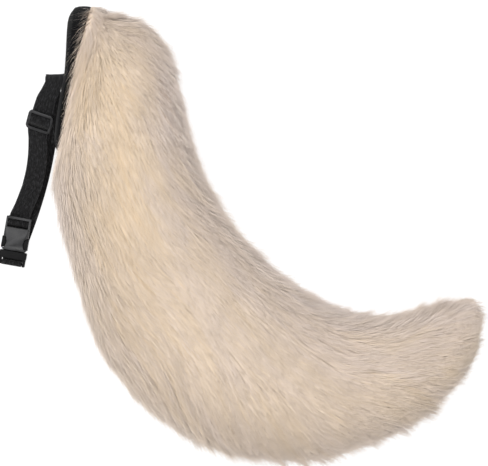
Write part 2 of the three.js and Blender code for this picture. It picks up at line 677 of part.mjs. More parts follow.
// One spring arm of the male half, with the release pad that fills the side window.
function springArm(side) {
  const rootY = bodyLow - SLACK;
  const tipY = notchY + NOTCH_HALF - 1.4;
  const inner = side * (cavityHalf - 5.2);
  const outer = side * (cavityHalf - SLACK);
  const arm = new THREE.Shape();
  arm.moveTo(outer, rootY - 1);
  arm.lineTo(outer, tipY - 3);
  arm.lineTo(inner + side * 1.5, tipY);
  arm.lineTo(inner, tipY - 1.5);
  arm.lineTo(inner, tipY - 5);
  arm.lineTo(inner + side * 1.8, notchY);
  arm.lineTo(inner + side * 1.4, rootY - 1);
  const deep = BUCKLE_WALL + SLACK;
  const blade = slab(arm, deep, BUCKLE_THICKNESS - deep);
  const pad = slab(notch(side, SLACK + 0.2), 0.6, BUCKLE_THICKNESS - 0.6, 0.6);
  const reach = new THREE.BoxGeometry(BUCKLE_WIDTH - 1, 3 * NOTCH_HALF, 3 * BUCKLE_THICKNESS);
  reach.translate(0, notchY, 0);
  return blade.add(pad.intersect(solid(reach)));
}

// The male half: a shoulder with the bar that the belt is sewn round, two spring arms and a guide.
function buckleMale() {
  const blockHigh = bodyLow - SLACK;
  const blockLow = blockHigh - BLOCK_LENGTH;
  const blockShape = plate(BUCKLE_WIDTH, BLOCK_LENGTH, 1.5, (blockHigh + blockLow) / 2);
  const block = slab(blockShape, 0, BUCKLE_THICKNESS, 1);
  const guideTop = bodyHigh - 10;
  const guide = slab(plate(4, guideTop - blockLow, 1, (guideTop + blockLow) / 2), 2.6, 6.4);
  const railLow = -buckleEnd;
  const railLength = blockLow - railLow + 2;
  const rails = [-1, 1].map((side) => {
    const rail = slab(plate(BUCKLE_RAIL + 0.8, railLength, 1, railLow + railLength / 2), 0.6, 6.6);
    return rail.translate([side * (BUCKLE_WIDTH / 2 - (BUCKLE_RAIL + 0.8) / 2 - 0.5), 0, 0]);
  });
  const sewnBar = bar(BUCKLE_WIDTH - 3, BUCKLE_BAR / 2, maleBar, maleBarHeight);
  return piece(
    "buckle_male",
    joined([block, guide, ...rails, sewnBar, springArm(-1), springArm(1)]),
    PLASTIC,
  );
}

// Everything in one group, with the origin on the floor under the middle of the whole.
const tail = new THREE.Group();
const buckle = new THREE.Group();
buckle.add(buckleFemale(), buckleMale());
buckle.applyMatrix4(buckleFrame);
tail.add(tailFur(), rootPanel(), beltCarrier(), beltWebbing(), slider(), buckle);
const bounds = new THREE.Box3().setFromObject(tail, true);
const middle = bounds.getCenter(new THREE.Vector3());
tail.position.set(-middle.x, -middle.y, -bounds.min.z);

export default tail;
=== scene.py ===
# The looks of a costume animal tail: long cream fur round a stuffed crescent, a padded black panel at its
# root, and a black webbing belt with an adjuster and a side-release buckle. It lies on its side on a pale
# floor and the camera looks straight down. Sizes are millimetres in the tail's own layout, measured from
# the middle of the panel, until to_row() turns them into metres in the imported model's frame.
import math

import bmesh
import bpy
import numpy as np
from mathutils import Matrix, Vector


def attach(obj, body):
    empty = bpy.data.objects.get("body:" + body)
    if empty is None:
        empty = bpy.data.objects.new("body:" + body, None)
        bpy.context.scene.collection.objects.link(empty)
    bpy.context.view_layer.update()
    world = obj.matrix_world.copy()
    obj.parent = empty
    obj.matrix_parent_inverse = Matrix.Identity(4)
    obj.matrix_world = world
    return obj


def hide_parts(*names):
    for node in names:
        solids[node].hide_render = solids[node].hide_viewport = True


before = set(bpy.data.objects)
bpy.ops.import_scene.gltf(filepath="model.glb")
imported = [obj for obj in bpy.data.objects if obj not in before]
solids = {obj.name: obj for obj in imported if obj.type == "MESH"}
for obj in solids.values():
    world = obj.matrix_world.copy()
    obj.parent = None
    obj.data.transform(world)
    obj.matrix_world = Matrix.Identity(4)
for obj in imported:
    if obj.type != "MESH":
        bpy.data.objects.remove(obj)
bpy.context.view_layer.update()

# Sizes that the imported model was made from
TAIL_REACH = 526
TAIL_DROP = 486
TAIL_HEIGHT = 168
PANEL_LENGTH = 188
PANEL_WIDTH = 100
PANEL_THICKNESS = 14
PANEL_SWELL = 18
PANEL_TILT = math.radians(11.5)
PANEL_ROLL = math.radians(3)
FUR_MARGIN = 4
WEBBING_WIDTH = 25
WEBBING_THICKNESS = 1.3
CARRIER_WIDTH = 20
CARRIER_LENGTH = 98
CARRIER_TOP = 14
CARRIER_FOOT = 9
CARRIER_DROP = -8
BELT_TURN = math.radians(68)
BELT_ALONG = -14
FOLD_RADIUS = 6
FOLD_OUT = 12
FOLD_UP = 1
FOLD_HEIGHT = 88
FOLD_LEAN = math.radians(14)
LANDING_OUT = 25
FLOOR_BEND = 11
HEM = 20
SLIDER_LENGTH = 24.5
SLIDER_THICKNESS = 3
SLIDER_RAIL = 2.8
SLIDER_BAR = 3
SLIDER_SHARE = 0.3
SLIDER_TURN = math.radians(19)
SLIDER_SWAY = 3.5
BUCKLE_LENGTH = 63
BUCKLE_BAR = 3
BUCKLE_DOWN = 207
BUCKLE_OUT = 71
BUCKLE_TURN = math.radians(10)
GAP = 0.3
SLACK = 0.6
SPREAD = 1.045  # how much wider than elsewhere the webbing lies in the hardware
ROW_SHIFT = Vector((-216.47, 197.54, 0))

# Sizes that only the looks have
HIDE_DEPTH = 13  # how far the cloth that the pile grows from lies under the fur's outline
STRAND_LENGTH = 62
STRAND_WIDTH = 0.9
PILE_PARTS = ["root", "upper", "middle", "lower", "tip"]
STRANDS_PER_PART = 19400
HIDE_STEPS = 130
HIDE_ROUND = 84

# How the strands vary, in metres on the hide or as shares
STRAND_SHARES = (0.72, 1.18)  # how long single strands are, as shares of the length
LOCK_SHARES = (0.82, 1.15)  # how long whole locks are
LOCK_ENDS = (-0.016, 0.009)  # how far before or past the tail's tip a lock ends
SHORTEST = 0.006
LOCK_SWERVE = 0.05  # how far locks wander round the tail
LOCK_SWAY = 0.014  # how far a lock's strands swing to one side
LOOSE_REACH = 0.85  # how much of its length a loose hair keeps at the rim
MOST_CROSSED = 0.036  # how far round the hide a strand reaches where it stands off the most
CROSSED_BEND = 0.17  # the hide's bend there, which a straight hair doesn't follow
STREAK_LENGTH = 0.28
STREAK_WIDTH = 0.0045
TONE_BY_LOCK = 0.26
TONE_BY_STREAK = 0.4
TONE_BY_STRAND = 0.17
TONE_SHARES = (0.16, 0.96)
DARKEST_TONE = 0.03
MAP_END = 0.001  # how near to the ends of the hide's map a strand is placed
OVER_FLOOR = 0.0006

# How far the fur lies turned from the way to the tip
FAN = math.radians(60)  # outwards at the root
NECK_CROSSING = math.radians(17)  # to the inner edge at the neck
SWEEP_CROSSING = math.radians(16)  # to the outer edge below
SWEEP_OUTER = math.radians(32)  # and this much more on the outer half
EDGE_CROSSING = math.radians(12)  # back to the inner edge along it

# The panel, the belt and the plastic
PANEL_FLAT = 0.6  # the share of the panel's radius that isn't rounded
PANEL_ROUND = 120
CROSSING_REACH = 0.74  # how far to each side of the strap's middle the belt is led, in the strap's widths
BELT_OVERRUN = 38  # how much longer than a hem the belt's end lies doubled back at the buckle
DENT_AT = -138  # where the strand has a dent across it
DENT_DEPTH = 1.8
DENT_REACH = 4.5
FOLD_PRESS = 2.2  # how far the belt's fold sits against the panel
FOLD_NARROWED = 0.15  # the share by which the webbing is drawn in at the fold
RAIL_FULLER = 0.5  # how much thicker the adjuster is all round than its solid
CORNER_RADIUS = 2.6
RIB_PITCH = 0.0019  # in metres, as the webbing's map is
WARP_PITCH = 0.0024

# The camera and the floor, in metres
CAMERA_PLACE = (0.00863, 0.00154, 1.9)
CAMERA_LENS = 107.8
FLOOR_GREY = 0.16
FLOOR_GLOW = 0.9
FLOOR_HALF = 4
FLOOR_LEVEL = -0.0005

UP = Vector((0, 0, 1))

# The tail from above, root to tip: outer edge x and y, inner edge x and y, height, sit and lean
SECTIONS = [
    (-0.026, -0.275, 0.148, 0.168, 0.76, 0.3, 0.7),
    (-0.018, -0.335, 0.214, 0.13, 0.86, 0.6, 0.4),
    (-0.006, -0.4, 0.258, 0.042, 0.92, 0.9, 0.15),
    (0.012, -0.48, 0.282, -0.06, 0.95, 1, 0),
    (0.039, -0.575, 0.31, -0.183, 0.98, 1, 0),
    (0.079, -0.708, 0.356, -0.3, 1, 1, 0),
    (0.156, -0.82, 0.416, -0.396, 1, 1, 0),
    (0.256, -0.912, 0.48, -0.472, 1, 1, 0),
    (0.366, -0.972, 0.567, -0.543, 0.98, 1, 0),
    (0.48, -0.996, 0.652, -0.592, 0.94, 1, 0),
    (0.594, -1, 0.725, -0.614, 0.87, 1, 0),
    (0.701, -0.968, 0.801, -0.614, 0.77, 1, 0),
    (0.809, -0.916, 0.883, -0.595, 0.64, 1, 0),
    (0.904, -0.845, 0.947, -0.58, 0.5, 0.9, 0),
    (0.968, -0.765, 0.984, -0.574, 0.34, 0.8, 0),
    (0.995, -0.7, 1, -0.602, 0.2, 0.6, 0),
]


def to_row(point):
    """A point of the tail's own layout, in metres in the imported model's frame."""
    return (Vector(point) + ROW_SHIFT) / 1000


# The camera comes first: straight above, with the photograph's up along +Y
camera_data = bpy.data.cameras.new("overhead_camera")
camera_data.sensor_width = 36
camera_data.lens = CAMERA_LENS
camera_data.clip_end = 20
camera = bpy.data.objects.new("overhead_camera", camera_data)
camera.location = CAMERA_PLACE
bpy.context.scene.collection.objects.link(camera)
bpy.context.scene.camera = camera
bpy.context.scene.view_settings.view_transform = "Standard"


# The panel's own directions: along its length, out on the belt side and across its width
panel_along = Vector((math.sin(PANEL_TILT), math.cos(PANEL_TILT), 0))
panel_in_level = Vector((math.cos(PANEL_TILT), -math.sin(PANEL_TILT), 0))
panel_across = UP * math.cos(PANEL_ROLL) + panel_in_level * math.sin(PANEL_ROLL)
panel_out = UP * math.sin(PANEL_ROLL) - panel_in_level * math.cos(PANEL_ROLL)
panel_middle = Vector((0, 0, (PANEL_WIDTH / 2 + FUR_MARGIN) * math.cos(PANEL_ROLL) + GAP))


def on_panel(along, out, across):
    return panel_middle + panel_along * along + panel_out * out + panel_across * across


def panel_swell(along):
    return PANEL_SWELL * max(0, 2 * along / PANEL_LENGTH) ** 1.3


def mesh_piece(name, points, faces, smooth=True):
    """A finished piece: points in metres, faces turned to look outwards."""
    mesh = bpy.data.meshes.new(name)
    mesh.from_pydata([tuple(p) for p in points], [], faces)
    mesh.update()
    if smooth:
        mesh.shade_smooth()
    made = bpy.data.objects.new(name, mesh)
    bpy.context.scene.collection.objects.link(made)
    return made


def enclosed(points, faces):
    """Six times the volume inside closed faces, which is negative when they look inwards."""
    total = 0
    for face in faces:
        for i in range(1, len(face) - 1):
            total += Vector(points[face[0]]).dot(Vector(points[face[i]]).cross(Vector(points[face[i + 1]])))
    return total


def lofted(rings):
    """Points and outward faces through rings of points, closed at both ends."""
    count = len(rings[0])
    points = [Vector(p) for ring in rings for p in ring]
    faces = []
    for i in range(len(rings) - 1):
        for j in range(count):
            k = (j + 1) % count
            faces.append((i * count + j, i * count + k, (i + 1) * count + k, (i + 1) * count + j))
    last = (len(rings) - 1) * count
    for start, turned in ((0, True), (last, False)):
        hub = len(points)
        middle = Vector((0, 0, 0))
        for j in range(count):
            middle += points[start + j] / count
        points.append(middle)
        for j in range(count):
            face = (start + j, start + (j + 1) % count, hub)
            faces.append(face[::-1] if turned else face)
    if enclosed(points, faces) < 0:
        faces = [face[::-1] for face in faces]
    return points, faces


# The fur's outline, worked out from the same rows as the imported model
def section_rows():
    reach = PANEL_LENGTH / 2 + FUR_MARGIN
    back = -(PANEL_THICKNESS + GAP)
    low = on_panel(-reach, back, 0)
    high = on_panel(reach, back, 0)
    tall = (PANEL_WIDTH + 2 * FUR_MARGIN) * math.cos(PANEL_ROLL) + GAP
    rows = [(low.x, low.y, high.x, high.y, tall, 0, 1)]
    for out_x, out_y, in_x, in_y, tall, sit, lean in SECTIONS:
        row = (out_x * TAIL_REACH, out_y * TAIL_DROP, in_x * TAIL_REACH, in_y * TAIL_DROP)
        rows.append((*row, tall * TAIL_HEIGHT, sit, lean))
    return np.array(rows, float)


ROWS = section_rows()


def rows_at(share):
    """The seven section measures at each share of the way from root to tip, on smooth curves."""
    place = np.clip(share, 0, 1) * (len(ROWS) - 1)
    start = np.minimum(place.astype(int), len(ROWS) - 2)
    part = (place - start)[:, None]
    padded_rows = np.vstack([2 * ROWS[0] - ROWS[1], ROWS, 2 * ROWS[-1] - ROWS[-2]])
    before, here, there, after = (padded_rows[start + k] for k in range(4))
    slope_here = 0.5 * (there - before)
    slope_there = 0.5 * (after - here)
    cubic = 2 * here - 2 * there + slope_here + slope_there
    square = -3 * here + 3 * there - 2 * slope_here - slope_there
    return cubic * part**3 + square * part**2 + slope_here * part + here


def fur_points(share, angle, lift):
    """Points of the fur in the tail's own layout. Angle 0 is the inner edge, a quarter turn the top."""
    share, angle, lift = (np.asarray(a, float).ravel() for a in np.broadcast_arrays(share, angle, lift))
    rows = rows_at(share)
    outer, inner = rows[:, 0:2], rows[:, 2:4]
    tall, sit, lean = rows[:, 4], rows[:, 5], rows[:, 6]
    across = inner - outer
    half = np.linalg.norm(across, axis=1) / 2
    across = across / (2 * half[:, None])
    level = np.stack([across[:, 1], -across[:, 0]], axis=1)
    turn = PANEL_ROLL * np.maximum(lean, 0)
    depth = np.column_stack([level * np.sin(turn)[:, None], np.cos(turn)])
    mid = (0.5 - 0.06 * sit) * tall
    middle_z = np.where(share <= 0, panel_middle.z - (PANEL_THICKNESS + GAP) * math.sin(PANEL_ROLL), mid)
    middle = np.column_stack([(outer + inner) / 2, middle_z])
    c, s = np.cos(angle), np.sin(angle)
    over = s >= 0
    square = 1 - 0.22 * sit
    side = np.where(over, c, np.sign(c) * np.abs(c) ** square)
    rise = np.where(over, s, -(np.abs(s) ** square))
    vertical = np.where(over, tall - mid, mid * (1 + 0.16 * sit))
    across3 = np.column_stack([across, np.zeros(len(across))])
    outward = across3 * (side / half)[:, None] + depth * (rise / vertical)[:, None]
    outward /= np.linalg.norm(outward, axis=1)[:, None]
    place = middle + across3 * (side * half)[:, None] + depth * (rise * vertical)[:, None]
    return place + outward * lift[:, None]


def in_row(points):
    """Many points of the tail's own layout at once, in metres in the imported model's frame."""
    return (np.asarray(points) + np.array(ROW_SHIFT)) / 1000


# Node helpers
class Wiring:
    """Short ways to add and join nodes in one tree."""

    def __init__(self, tree):
        self.tree = tree

    def node(self, kind, **settings):
        made = self.tree.nodes.new(kind)
        for name, value in settings.items():
            setattr(made, name, value)
        return made

    def feed(self, socket, value):
        if isinstance(value, bpy.types.NodeSocket):
            self.tree.links.new(value, socket)
        elif value is not None:
            socket.default_value = value

    def fed(self, kind, inputs, output=0, **settings):
        """One output of a new node, with its inputs given by name or number."""
        made = self.node(kind, **settings)
        for key, value in inputs.items():
            self.feed(made.inputs[key], value)
        return made.outputs[output]

    def math(self, operation, *values):
        return self.fed("ShaderNodeMath", dict(enumerate(values)), operation=operation)

    def plus(self, first, *more):
        for value in more:
            first = self.math("ADD", first, value)
        return first

    def times(self, first, *more):
        for value in more:
            first = self.math("MULTIPLY", first, value)
        return first

    def minus(self, first, second):
        return self.math("SUBTRACT", first, second)

    def over(self, first, second):
        return self.math("DIVIDE", first, second)

    def power(self, first, second):
        return self.math("POWER", first, second)

    def least(self, first, second):
        return self.math("MINIMUM", first, second)

    def most(self, first, second):
        return self.math("MAXIMUM", first, second)

    def vector(self, operation, *values):
        return self.fed("ShaderNodeVectorMath", dict(enumerate(values)), operation=operation)

    def scaled(self, value, factor):
        return self.fed("ShaderNodeVectorMath", {0: value, "Scale": factor}, operation="SCALE")

    def joined(self, x, y, z=0.0):
        return self.fed("ShaderNodeCombineXYZ", {0: x, 1: y, 2: z})

    def split(self, value):
        made = self.node("ShaderNodeSeparateXYZ")
        self.feed(made.inputs[0], value)
        return made.outputs

    def noise(self, place, scale, detail, dimensions="3D"):
        inputs = {"Vector": place, "Scale": scale, "Detail": detail}
        return self.fed("ShaderNodeTexNoise", inputs, noise_dimensions=dimensions)

    def object_place(self):
        return self.node("ShaderNodeTexCoord").outputs["Object"]

    def ramp(self, value, stops):
        made = self.node("ShaderNodeValToRGB")
        self.feed(made.inputs[0], value)
        elements = made.color_ramp.elements
        while len(elements) < len(stops):
            elements.new(0.5)
        for element, (position, colour) in zip(elements, stops):
            element.position = position
            element.color = (*colour, 1)
        return made.outputs[0]

    def spread(self, value, low, high, to_low, to_high):
        return self.fed("ShaderNodeMapRange", dict(enumerate((value, low, high, to_low, to_high))))

    def blended(self, share, first, second, mode="MIX"):
        inputs = {0: share, 6: first, 7: second}
        return self.fed("ShaderNodeMix", inputs, 2, data_type="RGBA", blend_type=mode)


def shade(red, green, blue):
    """A colour read off a screen, 0 to 255, as the light it stands for."""
    parts = (red, green, blue)
    return tuple(((c / 255 + 0.055) / 1.055) ** 2.4 if c > 10 else c / 255 / 12.92 for c in parts)


def material(name, base, roughness, sheen=0.0, specular=0.5):
    """A plain finish, with the wiring of its tree and its shader."""
    made = bpy.data.materials.new(name)
    made.use_nodes = True
    made.diffuse_color = (*base, 1)
    shader = made.node_tree.nodes["Principled BSDF"]
    shader.inputs["Base Color"].default_value = (*base, 1)
    shader.inputs["Roughness"].default_value = roughness
    shader.inputs["Sheen Weight"].default_value = sheen
    shader.inputs["Specular IOR Level"].default_value = specular
    return made, Wiring(made.node_tree), shader


# Fine grain: a raised speckle on top of any relief that a finish gives it
def grain_group():
    tree = bpy.data.node_groups.new("fine_grain", "ShaderNodeTree")
    face = tree.interface
    sizes = {"Scale": 900.0, "Detail": 4.0, "Relief": 0.0, "Amount": 1.0, "Strength": 0.5, "Distance": 0.0006}
    for label, value in sizes.items():
        face.new_socket(label, in_out="INPUT", socket_type="NodeSocketFloat").default_value = value
    face.new_socket("Height", in_out="OUTPUT", socket_type="NodeSocketFloat")
    face.new_socket("Normal", in_out="OUTPUT", socket_type="NodeSocketVector")
    wires = Wiring(tree)
    given = wires.node("NodeGroupInput").outputs
    result = wires.node("NodeGroupOutput").inputs
    speckle = wires.noise(wires.object_place(), given["Scale"], given["Detail"])
    height = wires.plus(given["Relief"], wires.times(speckle, given["Amount"]))
    bump = {"Strength": given["Strength"], "Distance": given["Distance"], "Height": height}
    wires.feed(result["Height"], height)
    wires.feed(result["Normal"], wires.fed("ShaderNodeBump", bump))
    return tree


FINE_GRAIN = grain_group()


def grained(wires, shader, scale, strength, distance, relief=None, amount=1.0):
    """Puts the grain on a finish and gives back its height."""
    grain = wires.node("ShaderNodeGroup", node_tree=FINE_GRAIN)
    sizes = {"Scale": scale, "Strength": strength, "Distance": distance, "Relief": relief, "Amount": amount}
    for label, value in sizes.items():
        wires.feed(grain.inputs[label], value)
    wires.feed(shader.inputs["Normal"], grain.outputs["Normal"])
    return grain.outputs["Height"]


def mottled(wires, shader, scale, detail, stops):
    """Lets a finish's colour drift between two tones, and gives back the noise that it follows."""
    cloud = wires.noise(wires.object_place(), scale, detail)
    wires.feed(shader.inputs["Base Color"], wires.ramp(cloud, stops))
    return cloud


# Fur: tone runs across its map from strands with painted shade to light strands, and root to tip runs up it,
# darker at the roots as painted shade
def pile_material():
    made, wires, shader = material("cream_pile", shade(218, 197, 173), 0.75, sheen=0.25, specular=0.2)
    tone, along, _ = wires.split(wires.node("ShaderNodeUVMap", uv_map="OFBake").outputs[0])
    # Tones under the second stop are the brownish painted shade that only the strands in the neck's dent are
    # darkened into
    tones = [
        (0.0, shade(172, 141, 110)),
        (0.14, shade(230, 215, 206)),
        (0.42, shade(226, 208, 193)),
        (0.7, shade(227, 207, 184)),
        (1.0, shade(229, 203, 169)),
    ]
    # Painted shade: each strand's colour is darker towards its root, deep in the pile
    depth = wires.ramp(along, [(0.0, (0.9, 0.88, 0.85)), (0.45, (0.975, 0.97, 0.965)), (1.0, (1, 1, 1))])
    wires.feed(shader.inputs["Base Color"], wires.blended(1.0, wires.ramp(tone, tones), depth, "MULTIPLY"))
    return made


def hide_material():
    made, wires, shader = material("cream_fur_ground", shade(196, 170, 142), 0.95)
    mottled(wires, shader, 60, 4, [(0.3, shade(210, 190, 168)), (0.7, shade(222, 203, 181))])
    grained(wires, shader, 900, 0.5, 0.001)
    return made


# The hide: the smooth cloth body under the pile
def smooth_step(value):
    held = np.clip(value, 0, 1)
    return held * held * (3 - 2 * held)


def crowding(share, turn):
    """Strands for each area: thin underneath, where the tail rests, and thick behind the panel's rim."""
    under = smooth_step((np.abs(turn - 0.5) - 0.3) / 0.12)
    return (1 - 0.85 * under) * (1 + 1.6 * (1 - smooth_step(share / 0.05)))


def hide_depth(share, angle):
    """How far the hide lies under the fur's outline: deep on top, pressed thin against the floor."""
    at_root = np.clip(share / 0.03, 0.3, 1)
    return (2 + (HIDE_DEPTH - 2) * smooth_step((np.sin(angle) + 0.35) / 0.5)) * at_root


def hide_grid():
    """The share of the way to the tip and the turn round the tail at each point of the hide."""
    shares = np.linspace(0, 1, HIDE_STEPS + 1)
    turns = np.arange(HIDE_ROUND) / HIDE_ROUND
    return np.meshgrid(shares, turns, indexing="ij")


def hide_surface():
    """The hide as one closed body, with its lay: u runs root to tip and v round it from underneath."""
    share, turn = hide_grid()
    angle = 2 * math.pi * turn - math.pi / 2
    places = fur_points(share, angle, -hide_depth(share, angle))
    places[:, 2] = np.maximum(places[:, 2], 1.2)
    places = in_row(places)
    rings = places.reshape(HIDE_STEPS + 1, HIDE_ROUND, 3)
    points, faces = lofted([list(ring) for ring in rings])
    hide = mesh_piece("fur_hide", points, faces)
    mesh = hide.data
    lay = mesh.uv_layers.new(name="Lay")
    count = HIDE_ROUND
    for face in mesh.polygons:
        corners = [mesh.loops[k].vertex_index for k in face.loop_indices]
        around = [(v % count) / count for v in corners]
        wraps = max(around) - min(around) > 0.5
        capped = max(corners) >= count * (HIDE_STEPS + 1)
        for k, v, turn_at in zip(face.loop_indices, corners, around):
            spot = (v // count / HIDE_STEPS, 1.0 if wraps and turn_at == 0 else turn_at)
            lay.data[k].uv = (-1 - turn_at, -1) if capped else spot
    forward = np.zeros_like(rings)
    forward[1:-1] = rings[2:] - rings[:-2]
    forward[0] = rings[1] - rings[0]
    forward[-1] = rings[-1] - rings[-2]
    forward /= np.linalg.norm(forward, axis=2)[:, :, None]
    flow = np.vstack([forward.reshape(-1, 3), [[0, 0, 1], [0, 0, 1]]])
    stored = mesh.attributes.new("flow", "FLOAT_VECTOR", "POINT")
    stored.data.foreach_set("vector", flow.astype(np.float32).ravel())
    normals = np.zeros(len(mesh.vertices) * 3, np.float32)
    mesh.vertex_normals.foreach_get("vector", normals)
    stored = mesh.attributes.new("rise", "FLOAT_VECTOR", "POINT")
    stored.data.foreach_set("vector", normals)
    return hide, rings


def hide_patch(name, rings, first, last):
    """The stretch of the hide that one part of the pile grows from."""
    count = HIDE_ROUND
    chosen = rings[first : last + 1]
    points = [Vector(p) for ring in chosen for p in ring]
    faces = []
    lays = []
    for i in range(len(chosen) - 1):
        for j in range(count):
            k = (j + 1) % count
            corners = (i * count + j, i * count + k, (i + 1) * count + k, (i + 1) * count + j)
            faces.append(corners)
            low, high = (first + i) / HIDE_STEPS, (first + i + 1) / HIDE_STEPS
            lays += [(low, j / count), (low, (j + 1) / count), (high, (j + 1) / count), (high, j / count)]
    patch = mesh_piece(name, points, faces)
    lay = patch.data.uv_layers.new(name="Lay")
    lay.data.foreach_set("uv", np.array(lays, np.float32).ravel())
    return patch


def one_strand():
    """A strand one long and one wide as plain data: how far along, to the side and proud each point is."""
    points = []
    for along, wide in ((0.0, 0.9), (0.48, 0.95)):
        for side, proud in ((-0.5, 0.0), (0.5, 0.0), (0.0, 0.45)):
            points.append((along, side * wide, proud * wide))
    points.append((1.0, 0.0, 0.0))
    faces = [(2, 1, 0)]
    for j in range(3):
        k = (j + 1) % 3
        faces.append((j, k, 3 + k, 3 + j))
        faces.append((3 + j, 3 + k, 6))
    if enclosed(points, faces) < 0:
        faces = [face[::-1] for face in faces]
    return mesh_piece("one_strand", points, faces, smooth=False)


def pile_tree(spine, girth):
    """Strands of fur over a patch: each follows the hide's lay, gathers into locks and lifts off it."""
    tree = bpy.data.node_groups.new("fur_pile", "GeometryNodeTree")
    face = tree.interface
    face.new_socket("Patch", in_out="INPUT", socket_type="NodeSocketGeometry")
    sockets = {}
    wanted = [
        ("Hide", "NodeSocketObject", None),
        ("Strand", "NodeSocketObject", None),
        ("Finish", "NodeSocketMaterial", None),
        ("Density", "NodeSocketFloat", 40000.0),
        ("Seed", "NodeSocketInt", 1),
        ("Length", "NodeSocketFloat", STRAND_LENGTH / 1000),
        ("Width", "NodeSocketFloat", STRAND_WIDTH / 1000),
        ("Lift", "NodeSocketFloat", HIDE_DEPTH / 1000),
        ("Lock Length", "NodeSocketFloat", 0.13),
        ("Lock Width", "NodeSocketFloat", 0.012),
        ("Gather", "NodeSocketFloat", 0.7),
        ("Stray", "NodeSocketFloat", 0.008),
        ("Splay", "NodeSocketFloat", 0.0215),
        ("Tuft Width", "NodeSocketFloat", 0.0085),
    ]
    for label, kind, value in wanted:
        socket = face.new_socket(label, in_out="INPUT", socket_type=kind)
        if value is not None:
            socket.default_value = value
        sockets[label] = socket.identifier
    face.new_socket("Pile", in_out="OUTPUT", socket_type="NodeSocketGeometry")
    w = Wiring(tree)
    given = w.node("NodeGroupInput").outputs
    result = w.node("NodeGroupOutput")

    def named(name, kind="FLOAT"):
        return w.fed("GeometryNodeInputNamedAttribute", {"Name": name}, data_type=kind)

    def stored(geometry, name, value, kind="FLOAT", domain="POINT"):
        inputs = {"Geometry": geometry, "Name": name, "Value": value}
        return w.fed("GeometryNodeStoreNamedAttribute", inputs, data_type=kind, domain=domain)

    def chance(low, high, salt):
        inputs = {2: low, 3: high, "Seed": w.plus(given["Seed"], float(salt))}
        return w.fed("FunctionNodeRandomValue", inputs, 1, data_type="FLOAT")

    # Roots of the strands
    density = w.times(given["Density"], named("crowd"))
    scatter = {"Mesh": given["Patch"], "Density": density, "Seed": given["Seed"]}
    roots = w.fed("GeometryNodeDistributePointsOnFaces", scatter, "Points", distribute_method="RANDOM")
    lay_u, lay_v, _ = w.split(named("Lay", "FLOAT_VECTOR"))
    run = w.times(lay_u, spine)
    round_it = w.times(w.plus(lay_v, named("shift")), girth)

    # The lock that a strand belongs to: a long cell along the lay
    wander = w.noise(w.joined(run, round_it), 14, 1, "2D")
    swerve = w.times(w.minus(wander, 0.5), LOCK_SWERVE)
    cell_y = w.over(w.plus(round_it, swerve), given["Lock Width"])
    cell_x = w.over(run, given["Lock Length"])
    cells = w.node("ShaderNodeTexVoronoi", voronoi_dimensions="2D", feature="F1")
    w.feed(cells.inputs["Vector"], w.joined(cell_x, cell_y))
    cells.inputs["Scale"].default_value = 1
    centre_y = w.split(cells.outputs["Position"])[1]
    lock_a, lock_b, lock_c = w.split(cells.outputs["Color"])
    edge = named("edge")
    gathered = w.times(given["Gather"], w.plus(w.times(edge, 0.6), 0.4))
    gather = w.times(w.minus(centre_y, cell_y), given["Lock Width"], gathered)
    lock_sway = w.times(w.minus(lock_a, 0.5), LOCK_SWAY)
    own_sway = chance(w.times(given["Stray"], -1.0), given["Stray"], 11)
    sway = w.plus(gather, lock_sway, own_sway)
    girth_here = named("girth")

    # How long a strand is: kept short of the tip's end, and cut at the rim unless it hangs loose over it
    own_length = w.spread(chance(0.0, 1.0, 23), 0.0, 1.0, *STRAND_SHARES)
    long = w.times(given["Length"], own_length, w.spread(lock_b, 0.0, 1.0, *LOCK_SHARES))
    left = w.times(w.minus(1.0, lay_u), named("stretch"))
    past_end = w.plus(w.spread(lock_a, 0.0, 1.0, *LOCK_ENDS), chance(-0.003, 0.002, 29))
    long = w.most(w.least(long, w.plus(left, past_end)), SHORTEST)
    at_rim = named("rim")
    loose = w.math("GREATER_THAN", chance(0.0, 1.0, 43), w.minus(0.9, w.times(at_rim, 0.5)))
    uncut = w.times(at_rim, loose, LOOSE_REACH, w.power(chance(0.0, 1.0, 79), 2.1))
    long = w.times(long, w.plus(named("short"), uncut))
    comb = w.plus(named("comb"), w.times(named("ruff"), w.most(named("behind"), loose)))
    ahead = w.times(w.math("COSINE", comb), long)
    aside = w.times(w.math("SINE", comb), long)

    # Tufts of the fringe: cells along the outline, by where the strands end
    ends_at = w.plus(run, w.times(ahead, 0.8), w.times(swerve, 1.4))
    fringe_at = w.over(ends_at, given["Tuft Width"])
    fringe = w.node("ShaderNodeTexVoronoi", voronoi_dimensions="1D", feature="F1")
    w.feed(fringe.inputs["W"], fringe_at)
    fringe.inputs["Scale"].default_value = 1
    tuft = w.split(fringe.outputs["Color"])[0]
    pull = w.times(w.minus(fringe.outputs["W"], fringe_at), given["Tuft Width"], 0.8, edge)

    # Lift off the hide, and splay of the strand's end at the outline
    flat = w.times(edge, 0.7, w.minus(1.1, tuft))
    lock_lift = w.times(w.spread(lock_c, 0.0, 1.0, 0.44, 0.56), w.minus(1.0, flat))
    depth_share = w.spread(named("depth"), 0.0, HIDE_DEPTH / 1000, 0.12, 1.0)
    lift = w.times(given["Lift"], depth_share, lock_lift, chance(0.8, 1.12, 37))
    lift = w.plus(lift, w.times(loose, chance(0.001, 0.005, 47)))
    crossed = w.least(w.math("ABSOLUTE", aside), MOST_CROSSED)
    stiff = w.over(w.times(crossed, crossed), CROSSED_BEND)
    apart = w.times(w.power(tuft, 2.2), chance(0.5, 1.0, 71))
    single = w.power(chance(0.0, 0.99, 73), 4.0)
    splay = w.times(given["Splay"], w.most(apart, single))
    splay = w.plus(splay, w.times(stiff, w.times(apart, 0.6)))
    splay = w.times(splay, w.plus(w.times(edge, 0.9), 0.1), depth_share)
    wide = w.times(given["Width"], chance(0.65, 1.2, 41), w.minus(1.0, w.times(loose, 0.45)))
